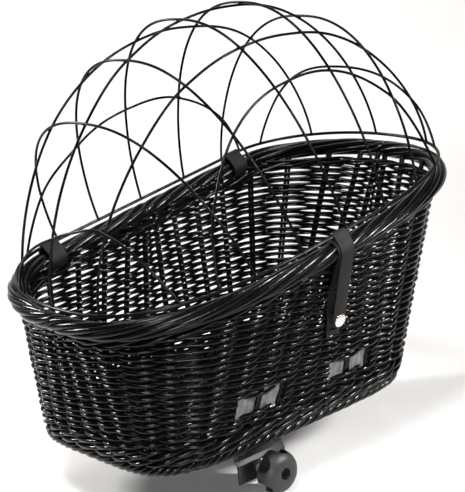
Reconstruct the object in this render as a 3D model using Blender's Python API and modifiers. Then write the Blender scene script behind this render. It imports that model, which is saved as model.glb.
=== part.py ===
"""Dog bicycle basket: a woven tub with a slanted rim, an arched wire hood on two leather loops,
a snap strap in front and a rack clamp with a three-lobed knob under the base.

Metres, +Z up. +X points to the high end of the basket, -Y to the side with the strap and knob.
The base is level and the lowest point, under the knob, is at Z = 0.
"""

import math

import bmesh
import bpy
import numpy as np
from mathutils import Matrix, Vector

OBJECT_NAME = "dog_bicycle_basket"

# Shared clearances
GAP = 0.0003
OVERRUN = 0.004

# Basket outline: rim wire at the top, foot at the bottom
RIM_HALF_LENGTH = 0.2932
RIM_HALF_WIDTH = 0.188
RIM_STRAIGHT_HALF = 0.171
RIM_POWER = 2.8
RIM_SLOPE = math.radians(8.56)
RIM_HEIGHT = 0.244
BASE_HALF_LENGTH = 0.2193
BASE_HALF_WIDTH = 0.1459
BASE_SHIFT = -0.048
BASE_POWER = 4.7
BASKET_CENTRE_X = 0.0027
OUTLINE_POINTS = 88
OUTLINE_SAMPLES = 1440
BISECTIONS = 40

# Woven parts
WALL_THICKNESS = 0.008
WALL_ROWS = 6
BORDER_RADIUS = 0.0122
BORDER_OVERHANG = 0.0025
WALL_TOP_CLEARANCE = 0.0012
FOOT_RADIUS = 0.008
FOOT_OVERHANG = 0.002
BASE_THICKNESS = 0.008
BASE_RECESS = 0.004

# Reflective bands woven into both long sides, each seen through a window with a stake in it
WINDOW_HALF_SPACING = 0.0755
WINDOW_WIDTH = 0.068
WINDOW_HEIGHT = 0.018
WINDOW_HEIGHT_ABOVE_BASE = 0.063
WINDOW_STAKE = 0.004
BAND_THICKNESS = 0.0012
BAND_BORDER = 0.006
BAND_COLUMNS = 6

# Wire hood
RIM_WIRE_RADIUS = 0.002
ARCH_WIRE_RADIUS = 0.0016
ARCH_POINTS = 27
ARCH_BEND_LENGTH = 0.08
ARCH_LAYER_GAP = 0.0006
ARCH_SEAT_GAP = 0.0008
ARCH_SAMPLES = 161
ARCH_RUN_POWER = 2.4
ARCH_RISE_POWER = 1.6
END_ARCH_RISE_POWER = 1.1

# The seven cross arches, low end first: where each stands on the far and the near rim as shares of
# the rim's half length, how high it rises, and how far it leans along the basket for each metre of rise
CROSS_ARCH_FAR_SHARES = (-0.950, -0.511, -0.276, -0.018, 0.252, 0.499, 0.727)
CROSS_ARCH_NEAR_SHARES = (-0.763, -0.455, -0.212, 0.036, 0.279, 0.518, 0.920)
CROSS_ARCH_RISES = (0.105, 0.193, 0.244, 0.265, 0.254, 0.205, 0.105)
CROSS_ARCH_LEANS = (-0.14, -0.264, -0.175, -0.093, 0.022, 0.170, 0.14)
# The long arches, far side first: the outer two end on the long sides, at shares of the half length
OUTER_ARCH_LOW_SHARES = (-0.705, -0.616)
OUTER_ARCH_HIGH_SHARES = (0.618, 0.736)
OUTER_ARCH_RISE = 0.135
OUTER_ARCH_LEAN = 0.20
# The three inner ones end on the short ends of the rim, at shares of its half width
INNER_ARCH_LOW_SHARES = (0.405, 0.010, -0.407)
INNER_ARCH_HIGH_SHARES = (0.644, 0.106, -0.435)
INNER_ARCH_RISES = (0.235, 0.259, 0.238)
INNER_ARCH_LEANS = (-0.054, -0.043, -0.069)

# Leather loops that hinge the hood
LOOP_BEFORE_BEND = 0.0058
LOOP_WIDTH = 0.024
LOOP_EASE = 0.0016
LOOP_WIRE_EASE = 0.0003
LOOP_STEPS = 14
LEATHER_THICKNESS = 0.0018
NOTCH_REACH = 0.032

# Front strap, its snap and the tab behind it
STRAP_WIDTH = 0.022
STRAP_TOP_SHIFT = -0.003
STRAP_SNAP_SHIFT = -0.006
STRAP_WRAP_START = math.radians(-20.0)
STRAP_TIP_TURN = math.radians(84.0)
STRAP_TIP_STEPS = 7
STRAP_STAND_OFF = 0.0075
SNAP_HEIGHT_ABOVE_BASE = 0.1355
SNAP_CAP_RADIUS = 0.0088
SNAP_CAP_HEIGHT = 0.0032
SNAP_CAP_EDGE = 0.0012
SNAP_STUD_RADIUS = 0.0055
SNAP_STUD_EASE = 0.0012
TAB_THICKNESS = 0.0012
TAB_WALL_TOP_ABOVE_BASE = 0.172
TAB_TIP_ABOVE_BASE = 0.112
TAB_INNER_DROP = 0.010
TAB_ROWS = 6

# Rack clamp under the base
CLAMP_X = -0.096
PLATE_LENGTH_X = 0.136
PLATE_NEAR_Y = -0.1205
PLATE_FAR_Y = 0.084
SHEET = 0.003
RAIL_DEPTH = 0.0165
RAIL_LIP = 0.010
JAW_WIDTH = 0.078
JAW_DEPTH_BELOW_BASE = 0.050
JAW_NECK_WIDTH = 0.044
JAW_LEG_WIDTH = 0.066
JAW_LEG_LENGTH = 0.050
JAW_JOGGLE = 0.004
JAW_JOGGLE_ABOVE_TIP = 0.0245
JAW_Y = -0.120
HOOK_Y = 0.070
SLIDE_CLEARANCE = 0.0005
ROD_RADIUS = 0.004
ROD_DROP = 0.038
ROD_NEAR_Y = -0.150
ROD_TAIL = 0.006
BORE_CLEARANCE = 0.0004
WASHER_RADIUS = 0.012
WASHER_THICKNESS = 0.0016
COLLAR_RADIUS = 0.009
COLLAR_LENGTH = 0.004
NUT_ACROSS_FLATS = 0.013
NUT_THICKNESS = 0.0065
KNOB_RADIUS = 0.027
KNOB_LENGTH = 0.035
KNOB_FACE_RADIUS = 0.013
KNOB_HUB_RADIUS = 0.0125
KNOB_HUB_LENGTH = 0.005
KNOB_LOBES = 5
FIRST_SCALLOP_TURN = math.radians(145.0)
SCALLOP_RADIUS = 0.009
SCALLOP_OFFSET = 0.0258
SCALLOP_LENGTH = 0.0295
SOCKET_ACROSS_FLATS = 0.0145
SOCKET_DEPTH = 0.010

# Bolts that hold the clamp to the base
BOLT_RADIUS = 0.003
BOLT_HEAD_RADIUS = 0.0075
BOLT_HEAD_HEIGHT = 0.0035
BOLT_SPACING_X = 0.114
BOLT_NEAR_Y = -0.088
BOLT_FAR_Y = 0.060
BOLT_NUT_ACROSS_FLATS = 0.010
BOLT_NUT_THICKNESS = 0.005
BOLT_TAIL = 0.0015
STRIP_WIDTH = 0.022
STRIP_OVERHANG = 0.012
STRIP_THICKNESS = 0.002

# Places worked out from the sizes above
BASE_Z = ROD_DROP + KNOB_RADIUS
RIM_MID = np.array([BASKET_CENTRE_X, 0.0, BASE_Z + RIM_HEIGHT])
RIM_ALONG = np.array([math.cos(RIM_SLOPE), 0.0, math.sin(RIM_SLOPE)])
RIM_UP = np.array([-math.sin(RIM_SLOPE), 0.0, math.cos(RIM_SLOPE)])
WORLD_Y = np.array([0.0, 1.0, 0.0])
LOOP_OFFSET = RIM_STRAIGHT_HALF - LOOP_BEFORE_BEND
LEATHER_STACK = LEATHER_THICKNESS + 2 * GAP
BORDER_DROP = RIM_WIRE_RADIUS + LEATHER_STACK + TAB_THICKNESS + GAP + BORDER_RADIUS
WALL_TOP_DROP = BORDER_DROP + BORDER_RADIUS + WALL_TOP_CLEARANCE
WALL_FOOT_HEIGHT = 2 * FOOT_RADIUS + GAP
FOOT_INSET = FOOT_RADIUS - FOOT_OVERHANG
BASE_INSET = FOOT_INSET + FOOT_RADIUS + GAP
BASE_BOTTOM = BASE_Z + BASE_RECESS
BASE_TOP = BASE_BOTTOM + BASE_THICKNESS
PLATE_TOP = BASE_BOTTOM - GAP
PLATE_BOTTOM = PLATE_TOP - SHEET
RAIL_TOP = PLATE_BOTTOM - GAP
RAIL_BOTTOM = RAIL_TOP - RAIL_DEPTH
RAIL_INNER_X = JAW_LEG_WIDTH / 2 + SLIDE_CLEARANCE
RAIL_NEAR_Y = JAW_Y + JAW_JOGGLE + SHEET + SLIDE_CLEARANCE
RAIL_FAR_Y = HOOK_Y - SHEET - SLIDE_CLEARANCE
ROD_Z = BASE_Z - ROD_DROP
JAW_BOTTOM = BASE_Z - JAW_DEPTH_BELOW_BASE
WELD_DISTANCE = GAP / 30
STRIP_BOTTOM = BASE_TOP + GAP
STRIP_TOP = STRIP_BOTTOM + STRIP_THICKNESS


def clear_scene():
    for old in list(bpy.data.objects):
        bpy.data.objects.remove(old, do_unlink=True)


def make_collection(name):
    collection = bpy.data.collections.new(name)
    bpy.context.scene.collection.children.link(collection)
    return collection


def make_material(name, colour, roughness, metallic=0.0):
    material = bpy.data.materials.new(name)
    material.use_nodes = True
    shader = material.node_tree.nodes["Principled BSDF"]
    shader.inputs["Base Color"].default_value = (*colour, 1.0)
    shader.inputs["Roughness"].default_value = roughness
    shader.inputs["Metallic"].default_value = metallic
    return material


clear_scene()
PARTS = make_collection(OBJECT_NAME)
CUTTERS = make_collection("cutters")

WICKER = make_material("black_willow", (0.010, 0.010, 0.011), 0.32)
WIRE = make_material("black_wire", (0.012, 0.012, 0.013), 0.38, 0.2)
LEATHER = make_material("dark_leather", (0.040, 0.034, 0.031), 0.62)
REFLECTIVE = make_material("grey_reflective_cloth", (0.130, 0.130, 0.135), 0.55)
SNAP_METAL = make_material("snap_nickel", (0.80, 0.79, 0.77), 0.18, 1.0)
CLAMP_STEEL = make_material("black_steel", (0.012, 0.012, 0.013), 0.42, 0.3)
ZINC = make_material("zinc_plated_steel", (0.62, 0.61, 0.60), 0.28, 1.0)
KNOB_PLASTIC = make_material("knob_nylon", (0.035, 0.034, 0.035), 0.50)


def link_object(name, data, material, parent=None, collection=None):
    obj = bpy.data.objects.new(name, data)
    (collection or PARTS).objects.link(obj)
    if material is not None:
        data.materials.clear()
        data.materials.append(material)
    obj.parent = parent
    return obj


def make_empty(name, place, direction_x=None):
    """An empty at a place, its X axis along the given direction in the XZ plane."""
    empty = bpy.data.objects.new(name, None)
    PARTS.objects.link(empty)
    empty.location = Vector(place)
    if direction_x is not None:
        empty.rotation_euler = (0.0, -math.atan2(direction_x[2], direction_x[0]), 0.0)
    return empty


def mesh_from_bmesh(name, bm, smooth=True):
    bmesh.ops.recalc_face_normals(bm, faces=bm.faces)
    mesh = bpy.data.meshes.new(name)
    bm.to_mesh(mesh)
    bm.free()
    if smooth:
        mesh.shade_smooth()
        mesh.set_sharp_from_angle(angle=math.radians(40))
    return mesh


def loft_mesh(name, sections, closed_round, closed_along):
    """Skin a grid of points: sections[i][j], where j runs round each section."""
    bm = bmesh.new()
    grid = [[bm.verts.new(tuple(point)) for point in section] for section in sections]
    count_i, count_j = len(grid), len(grid[0])
    for i in range(count_i if closed_along else count_i - 1):
        for j in range(count_j if closed_round else count_j - 1):
            ni, nj = (i + 1) % count_i, (j + 1) % count_j
            bm.faces.new((grid[i][j], grid[ni][j], grid[ni][nj], grid[i][nj]))
    if closed_round and not closed_along:
        bm.faces.new(grid[0])
        bm.faces.new(list(reversed(grid[-1])))
    return mesh_from_bmesh(name, bm)


def add_box(name, low, high, material, parent=None, collection=None):
    bm = bmesh.new()
    bmesh.ops.create_cube(bm, size=1.0)
    size = Vector(high) - Vector(low)
    middle = (Vector(high) + Vector(low)) / 2
    for vert in bm.verts:
        vert.co = Vector((vert.co.x * size.x, vert.co.y * size.y, vert.co.z * size.z)) + middle
    return link_object(name, mesh_from_bmesh(name, bm, smooth=False), material, parent, collection)


def add_tube(name, points, radius, material, parent=None, cyclic=False, resolution=2):
    """A round rod along the given points."""
    curve = bpy.data.curves.new(name, "CURVE")
    curve.dimensions = "3D"
    curve.bevel_depth = radius
    curve.bevel_resolution = resolution
    curve.use_fill_caps = not cyclic
    spline = curve.splines.new("POLY")
    spline.points.add(len(points) - 1)
    for spot, point in zip(spline.points, points):
        spot.co = (*point, 1.0)
    spline.use_cyclic_u = cyclic
    return link_object(name, curve, material, parent)


def add_outline(name, points, thickness, material, parent=None):
    """A flat plate: an outline in the object's own XY plane, centred on it in thickness."""
    curve = bpy.data.curves.new(name, "CURVE")
    curve.dimensions = "2D"
    curve.fill_mode = "BOTH"
    curve.extrude = thickness / 2
    spline = curve.splines.new("POLY")
    spline.points.add(len(points) - 1)
    for spot, point in zip(spline.points, points):
        spot.co = (point[0], point[1], 0.0, 1.0)
    spline.use_cyclic_u = True
    return link_object(name, curve, material, parent)


def curve_to_mesh(obj):
    """Swap a curve object for a mesh object of the same name, place and material."""
    bpy.context.view_layer.update()
    graph = bpy.context.evaluated_depsgraph_get()
    mesh = bpy.data.meshes.new_from_object(obj.evaluated_get(graph))
    bm = bmesh.new()
    bm.from_mesh(mesh)
    bmesh.ops.remove_doubles(bm, verts=bm.verts, dist=WELD_DISTANCE)
    bmesh.ops.recalc_face_normals(bm, faces=bm.faces)
    bm.to_mesh(mesh)
    bm.free()
    name, matrix = obj.name, obj.matrix_world.copy()
    collection = obj.users_collection[0]
    bpy.data.objects.remove(obj, do_unlink=True)
    solid = bpy.data.objects.new(name, mesh)
    collection.objects.link(solid)
    solid.matrix_world = matrix
    return solid


def add_turned(name, profile, steps, material, parent=None, collection=None):
    """Turn a profile of (radius, height) points, top to bottom, about the object's own Z axis."""
    bm = bmesh.new()
    verts = [bm.verts.new((radius, 0.0, height)) for radius, height in profile]
    for first, second in zip(verts, verts[1:]):
        bm.edges.new((first, second))
    mesh = bpy.data.meshes.new(name)
    bm.to_mesh(mesh)
    bm.free()
    obj = link_object(name, mesh, material, parent, collection)
    screw = obj.modifiers.new("turn", "SCREW")
    screw.axis = "Z"
    screw.angle = 2 * math.pi
    screw.steps = steps
    screw.render_steps = steps
    screw.use_merge_vertices = True
    screw.merge_threshold = WELD_DISTANCE
    screw.use_smooth_shade = True
    return obj


def add_ring(name, outer, inner, length, steps, material, parent=None):
    """A turned sleeve about the object's own Z axis, from 0 up to its length."""
    profile = [(inner, length), (outer, length), (outer, 0.0), (inner, 0.0), (inner, length)]
    return add_turned(name, profile, steps, material, parent)


def add_hex(name, across_flats, length, material, parent=None, collection=None):
    """A hexagonal prism about the object's own Z axis, from 0 up to its length."""
    bm = bmesh.new()
    radius = across_flats / math.sqrt(3)
    bmesh.ops.create_cone(bm, cap_ends=True, segments=6, radius1=radius, radius2=radius, depth=length)
    for vert in bm.verts:
        vert.co.z += length / 2
    return link_object(name, mesh_from_bmesh(name, bm, smooth=False), material, parent, collection)


def add_cylinder(name, radius, length, steps, material, parent=None, collection=None):
    """A cylinder about the object's own Z axis, from 0 up to its length."""
    bm = bmesh.new()
    bmesh.ops.create_cone(bm, cap_ends=True, segments=steps, radius1=radius, radius2=radius, depth=length)
    for vert in bm.verts:
        vert.co.z += length / 2
    return link_object(name, mesh_from_bmesh(name, bm), material, parent, collection)


def as_cutter(obj):
    obj.hide_render = True
    obj.display_type = "WIRE"
    return obj


def cut(obj, cutter):
    cutter = as_cutter(cutter)
    boolean = obj.modifiers.new("cut_" + cutter.name, "BOOLEAN")
    boolean.operation = "DIFFERENCE"
    boolean.solver = "EXACT"
    boolean.object = cutter
    return boolean


def join(obj, other):
    """Unite another solid with this one; the other solid stays as a guide."""
    other = as_cutter(other)
    boolean = obj.modifiers.new("join_" + other.name, "BOOLEAN")
    boolean.operation = "UNION"
    boolean.solver = "EXACT"
    boolean.object = other
    return boolean


def signed_power(value, power):
    return math.copysign(abs(value) ** power, value)


def rim_plan(angle):
    """Rim wire in its own plane: along the slope and across, anticlockwise from the high end."""
    along = RIM_HALF_LENGTH * signed_power(math.cos(angle), 2 / RIM_POWER)
    if math.sin(angle) <= 0:
        return along, RIM_HALF_WIDTH * signed_power(math.sin(angle), 2 / RIM_POWER)
    past = max(abs(along) - RIM_STRAIGHT_HALF, 0.0) / (RIM_HALF_LENGTH - RIM_STRAIGHT_HALF)
    return along, RIM_HALF_WIDTH * math.sqrt(max(1.0 - past * past, 0.0))


def rim_place(along, across, rise=0.0):
    """World place of a point given in the rim's plane and its height above that plane."""
    return RIM_MID + RIM_ALONG * along + WORLD_Y * across + RIM_UP * rise


def base_place(angle):
    x = BASE_SHIFT + BASE_HALF_LENGTH * signed_power(math.cos(angle), 2 / BASE_POWER)
    y = BASE_HALF_WIDTH * signed_power(math.sin(angle), 2 / BASE_POWER)
    return np.array([BASKET_CENTRE_X + x, y, BASE_Z])


def wall_line(angle):
    """Foot and rim ends of the straight line that the outside of the wall follows."""
    return base_place(angle), rim_place(*rim_plan(angle))


def wall_point(angle, share, inset=0.0):
    """Outside of the wall at a share of its height, moved in by an inset."""
    foot, rim = wall_line(angle)
    point = foot + (rim - foot) * share
    step = math.pi / OUTLINE_SAMPLES
    ends = []
    for side in (-step, step):
        low, high = wall_line(angle + side)
        ends.append(low + (high - low) * share)
    tangent = ends[1] - ends[0]
    normal = np.array([tangent[1], -tangent[0], 0.0])
    normal /= np.linalg.norm(normal)
    return point - normal * inset


def even_angles(count):
    """Angles that space points evenly along the rim."""
    angles = np.linspace(0.0, 2 * math.pi, OUTLINE_SAMPLES + 1)
    points = np.array([rim_plan(angle) for angle in angles])
    steps = np.hypot(*np.diff(points, axis=0).T)
    travelled = np.concatenate(([0.0], np.cumsum(steps)))
    return np.interp(np.arange(count) * travelled[-1] / count, travelled, angles)


def share_at_height(angle, height):
    """Share of the wall's height at a height above the foot."""
    foot, rim = wall_line(angle)
    return height / (rim[2] - foot[2])


def share_below_rim(angle, drop):
    """Share of the wall's height at a distance below the rim's plane."""
    foot, rim = wall_line(angle)
    return 1.0 - drop / float((rim - foot) @ RIM_UP)


def angle_at_x(x, height, far_side):
    """Angle whose wall line passes the given x at a height, on the near or far long side."""
    low, high = (0.0, math.pi) if far_side else (math.pi, 2 * math.pi)
    for _ in range(BISECTIONS):
        middle = (low + high) / 2
        place = wall_point(middle, share_at_height(middle, height))[0]
        if (place > x) == far_side:
            low = middle
        else:
            high = middle
    return (low + high) / 2


def build_wall():
    """Woven wall from the foot border up to the top border."""
    sections = []
    for angle in even_angles(OUTLINE_POINTS):
        low = share_at_height(angle, WALL_FOOT_HEIGHT)
        high = share_below_rim(angle, WALL_TOP_DROP)
        shares = np.linspace(low, high, WALL_ROWS)
        outer = [wall_point(angle, share) for share in shares]
        inner = [wall_point(angle, share, WALL_THICKNESS) for share in reversed(shares)]
        sections.append(outer + inner)
    return link_object("basket_wall", loft_mesh("basket_wall", sections, True, True), WICKER)


def border_centre(angle):
    share = share_below_rim(angle, BORDER_DROP)
    return wall_point(angle, share, -BORDER_OVERHANG)


def build_border():
    """Rolled border of thick rods round the rim."""
    points = [border_centre(angle) for angle in even_angles(OUTLINE_POINTS)]
    return add_tube("top_border", points, BORDER_RADIUS, WICKER, cyclic=True, resolution=3)


def build_foot():
    """Twisted foot border round the base."""
    points = []
    for angle in even_angles(OUTLINE_POINTS):
        point = wall_point(angle, 0.0, FOOT_INSET)
        points.append(point + np.array([0.0, 0.0, FOOT_RADIUS]))
    return add_tube("foot_border", points, FOOT_RADIUS, WICKER, cyclic=True)


def bolt_places():
    return [(CLAMP_X + side * BOLT_SPACING_X / 2, y) for y in (BOLT_NEAR_Y, BOLT_FAR_Y) for side in (-1, 1)]


def build_base():
    """Woven base plate with the holes for the clamp's bolts."""
    points = [wall_point(angle, 0.0, BASE_INSET)[:2] for angle in even_angles(OUTLINE_POINTS)]
    plate = add_outline("basket_base", points, BASE_THICKNESS, WICKER)
    plate.location.z = BASE_BOTTOM + BASE_THICKNESS / 2
    plate = curve_to_mesh(plate)
    for index, (x, y) in enumerate(bolt_places(), start=1):
        hole = add_cylinder(f"base_hole_{index}", BOLT_RADIUS + GAP, BASE_THICKNESS + 2 * OVERRUN, 16,
                            None, collection=CUTTERS)
        hole.location = (x, y, BASE_BOTTOM - OVERRUN)
        cut(plate, hole)
    return plate


def window_centres():
    """Name, x of the middle and side of each window."""
    middle = BASKET_CENTRE_X + BASE_SHIFT
    for side_name, far_side in (("near", False), ("far", True)):
        for end_name, sign in (("low", -1), ("high", 1)):
            yield f"{side_name}_{end_name}", middle + sign * WINDOW_HALF_SPACING, far_side


def cut_windows(wall):
    """Two openings side by side for each window, with a stake left between them."""
    half_opening = (WINDOW_WIDTH - WINDOW_STAKE) / 4
    for name, middle, far_side in window_centres():
        angle = angle_at_x(middle, WINDOW_HEIGHT_ABOVE_BASE, far_side)
        share = share_at_height(angle, WINDOW_HEIGHT_ABOVE_BASE)
        outside = wall_point(angle, share)
        for half_name, sign in (("a", -1), ("b", 1)):
            x = middle + sign * (WINDOW_STAKE / 2 + half_opening)
            reach = WALL_THICKNESS + 2 * OVERRUN
            low = (x - half_opening, outside[1] - reach, outside[2] - WINDOW_HEIGHT / 2)
            high = (x + half_opening, outside[1] + reach, outside[2] + WINDOW_HEIGHT / 2)
            cut(wall, add_box(f"window_{name}_{half_name}", low, high, None, collection=CUTTERS))


def build_bands():
    """Reflective cloth bands against the inside of the wall, behind the windows."""
    half_width = WINDOW_WIDTH / 2 + BAND_BORDER
    half_height = WINDOW_HEIGHT / 2 + BAND_BORDER
    for name, middle, far_side in window_centres():
        sections = []
        for x in np.linspace(middle - half_width, middle + half_width, BAND_COLUMNS):
            section = []
            for inset in (WALL_THICKNESS + GAP, WALL_THICKNESS + GAP + BAND_THICKNESS):
                heights = (WINDOW_HEIGHT_ABOVE_BASE - half_height, WINDOW_HEIGHT_ABOVE_BASE + half_height)
                if inset > WALL_THICKNESS + GAP:
                    heights = heights[::-1]
                for height in heights:
                    angle = angle_at_x(x, height, far_side)
                    section.append(wall_point(angle, share_at_height(angle, height), inset))
            sections.append(section)
        mesh = loft_mesh(f"reflective_band_{name}", sections, True, False)
        link_object(f"reflective_band_{name}", mesh, REFLECTIVE)


def near_rim(along):
    """Across position of the near rim at a place along it."""
    share = 1.0 - (abs(along) / RIM_HALF_LENGTH) ** RIM_POWER
    return -RIM_HALF_WIDTH * share ** (1 / RIM_POWER)


def far_rim(along):
    past = max(abs(along) - RIM_STRAIGHT_HALF, 0.0) / (RIM_HALF_LENGTH - RIM_STRAIGHT_HALF)
    return RIM_HALF_WIDTH * math.sqrt(1.0 - past * past)


def end_of_rim(across):
    """Along position of the high end of the rim at a place across it."""
    share = abs(across) / RIM_HALF_WIDTH
    if across <= 0:
        return RIM_HALF_LENGTH * (1.0 - share ** RIM_POWER) ** (1 / RIM_POWER)
    return RIM_STRAIGHT_HALF + (RIM_HALF_LENGTH - RIM_STRAIGHT_HALF) * math.sqrt(1.0 - share * share)


def arch_curve(start, end, rise, lean, rise_power=ARCH_RISE_POWER):
    """Dense points of an arch between two rim places, as (along, across, up) in the rim's frame."""
    start, end = np.array(start), np.array(end)
    run = end - start
    side = np.array([-run[1], run[0]]) / np.linalg.norm(run)
    turn = np.linspace(0.0, math.pi, ARCH_SAMPLES)
    swing = np.cos(turn)
    share = (1 - np.sign(swing) * np.abs(swing) ** (2 / ARCH_RUN_POWER)) / 2
    up = rise * np.maximum(np.sin(turn), 0.0) ** (2 / rise_power)
    plan = start + np.outer(share, run) + np.outer(up * lean, side)
    return np.column_stack([plan, up])


def plan_crossing(first, second):
    """Where two arches cross when seen along the rim's normal, as positions along each one's points."""
    steps_a, steps_b = np.diff(first[:, :2], axis=0)[:, None], np.diff(second[:, :2], axis=0)[None]
    offset = second[None, :-1, :2] - first[:-1, None, :2]
    area = steps_a[..., 0] * steps_b[..., 1] - steps_a[..., 1] * steps_b[..., 0]
    area = np.where(area == 0.0, np.inf, area)
    along_a = (offset[..., 0] * steps_b[..., 1] - offset[..., 1] * steps_b[..., 0]) / area
    along_b = (offset[..., 0] * steps_a[..., 1] - offset[..., 1] * steps_a[..., 0]) / area
    hits = np.argwhere((along_a >= 0) & (along_a < 1) & (along_b >= 0) & (along_b < 1))
    if len(hits) == 0:
        return None
    row, column = hits[0]
    return row + along_a[row, column], column + along_b[row, column]


def point_at(curve, position):
    index = int(position)
    return curve[index] + (curve[index + 1] - curve[index]) * (position - index)


def tie_to(curve, others, layer):
    """Draw an arch against the others that it passes: inside them for layer -1, outside for 1."""
    last = len(curve) - 1
    ties = [(0.0, np.zeros(3)), (float(last), np.zeros(3))]
    for cross in others:
        crossing = plan_crossing(curve, cross)
        if crossing is None:
            continue
        here, there = crossing
        own_run = curve[int(here) + 1] - curve[int(here)]
        normal = np.cross(own_run, cross[int(there) + 1] - cross[int(there)])
        normal *= math.copysign(1.0, normal[2]) / np.linalg.norm(normal)
        target = point_at(cross, there) + normal * layer * (2 * ARCH_WIRE_RADIUS + ARCH_LAYER_GAP)
        ties.append((here, target - point_at(curve, here)))
    ties.sort(key=lambda tie: tie[0])
    tied = curve.copy()
    for (low, from_shift), (high, to_shift) in zip(ties, ties[1:]):
        for index in range(math.ceil(low), math.floor(high) + 1):
            share = (index - low) / (high - low)
            tied[index] = curve[index] + from_shift + (to_shift - from_shift) * share * share * (3 - 2 * share)
    return tied


def arch_route(dense):
    """Points for one arch: cut off above the rim wire, closer together where it bends."""
    seat = RIM_WIRE_RADIUS + ARCH_SEAT_GAP
    above = dense[:, 2] >= seat
    first, last = np.argmax(above), len(above) - 1 - np.argmax(above[::-1])
    cut_ends = []
    for outside, inside in ((first - 1, first), (last + 1, last)):
        share = (seat - dense[outside, 2]) / (dense[inside, 2] - dense[outside, 2])
        cut_ends.append(dense[outside] + (dense[inside] - dense[outside]) * share)
    kept = np.vstack([cut_ends[0], dense[first:last + 1], cut_ends[1]])
    steps = np.diff(kept, axis=0)
    lengths = np.linalg.norm(steps, axis=1)
    heading = steps / lengths[:, None]
    bends = np.concatenate(([0.0], np.linalg.norm(np.diff(heading, axis=0), axis=1)))
    travelled = np.concatenate(([0.0], np.cumsum(lengths + ARCH_BEND_LENGTH * bends)))
    even = np.linspace(0.0, travelled[-1], ARCH_POINTS)
    return np.stack([np.interp(even, travelled, kept[:, axis]) for axis in range(3)], axis=1)


def cross_arches():
    """Dense points of the seven cross arches, low end first."""
    curves = []
    last = len(CROSS_ARCH_RISES) - 1
    sizes = zip(CROSS_ARCH_FAR_SHARES, CROSS_ARCH_NEAR_SHARES, CROSS_ARCH_RISES, CROSS_ARCH_LEANS)
    for index, (far_share, near_share, rise, lean) in enumerate(sizes):
        far_along, near_along = far_share * RIM_HALF_LENGTH, near_share * RIM_HALF_LENGTH
        power = END_ARCH_RISE_POWER if index in (0, last) else ARCH_RISE_POWER
        curves.append(arch_curve((far_along, far_rim(far_along)), (near_along, near_rim(near_along)),
                                 rise, lean, power))
    return curves


def long_arches():
    """Dense points of the five long arches, far side first, before they are tied."""
    outer = []
    for rim_side, low, high, lean in zip((far_rim, near_rim), OUTER_ARCH_LOW_SHARES, OUTER_ARCH_HIGH_SHARES,
                                         (-OUTER_ARCH_LEAN, OUTER_ARCH_LEAN)):
        ends = [(share * RIM_HALF_LENGTH, rim_side(share * RIM_HALF_LENGTH)) for share in (low, high)]
        outer.append(arch_curve(*ends, OUTER_ARCH_RISE, lean, END_ARCH_RISE_POWER))
    inner = []
    for low, high, rise, lean in zip(INNER_ARCH_LOW_SHARES, INNER_ARCH_HIGH_SHARES, INNER_ARCH_RISES,
                                     INNER_ARCH_LEANS):
        low_across, high_across = low * RIM_HALF_WIDTH, high * RIM_HALF_WIDTH
        inner.append(arch_curve((-end_of_rim(low_across), low_across), (end_of_rim(high_across), high_across),
                                rise, lean))
    return [outer[0], *inner, outer[1]]


def build_hood():
    """Rim wire and two layers of arches; all turn about the straight far side of the rim wire."""
    hinge = make_empty("hood_axis", rim_place(0.0, RIM_HALF_WIDTH), RIM_ALONG)
    shift = np.array([0.0, RIM_HALF_WIDTH, 0.0])
    rim = [np.array([*rim_plan(angle), 0.0]) - shift for angle in even_angles(OUTLINE_POINTS)]
    add_tube("hood_rim_wire", rim, RIM_WIRE_RADIUS, WIRE, hinge, cyclic=True)
    low_end, *crosses, high_end = cross_arches()
    longs = [tie_to(curve, crosses, -1) for curve in long_arches()]
    crosses = [tie_to(low_end, longs[1:-1], 1), *crosses, tie_to(high_end, longs[1:-1], 1)]
    for kind, curves in (("cross", crosses), ("long", longs)):
        for index, curve in enumerate(curves, start=1):
            name = f"hood_{kind}_arch_{index}"
            add_tube(name, arch_route(curve) - shift, ARCH_WIRE_RADIUS, WIRE, hinge)
    return hinge


def belt_points(small, big, drop, overhang, steps):
    """Closed belt round a small circle at the origin and a big one below it, as (outward, up)."""
    centre = np.array([overhang, -drop])
    distance = np.linalg.norm(centre)
    axis = math.atan2(centre[1], centre[0])
    spread = math.acos((small - big) / distance)
    points = []
    for turn in np.linspace(axis + spread, axis - spread + 2 * math.pi, steps):
        points.append((small * math.cos(turn), small * math.sin(turn)))
    for turn in np.linspace(axis - spread, axis + spread, steps):
        points.append(tuple(centre + big * np.array([math.cos(turn), math.sin(turn)])))
    return points


def border_section(along, far_side):
    """Outward and upward place of the border's centre, seen from the long side of the rim wire."""
    low, high = (0.0, math.pi) if far_side else (math.pi, 2 * math.pi)
    for _ in range(BISECTIONS):
        angle = (low + high) / 2
        if (float((border_centre(angle) - RIM_MID) @ RIM_ALONG) > along) == far_side:
            low = angle
        else:
            high = angle
    offset = border_centre(angle) - RIM_MID
    across = far_rim(along) if far_side else near_rim(along)
    return (float(offset @ WORLD_Y) - across) * (1 if far_side else -1), float(offset @ RIM_UP)


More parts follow.
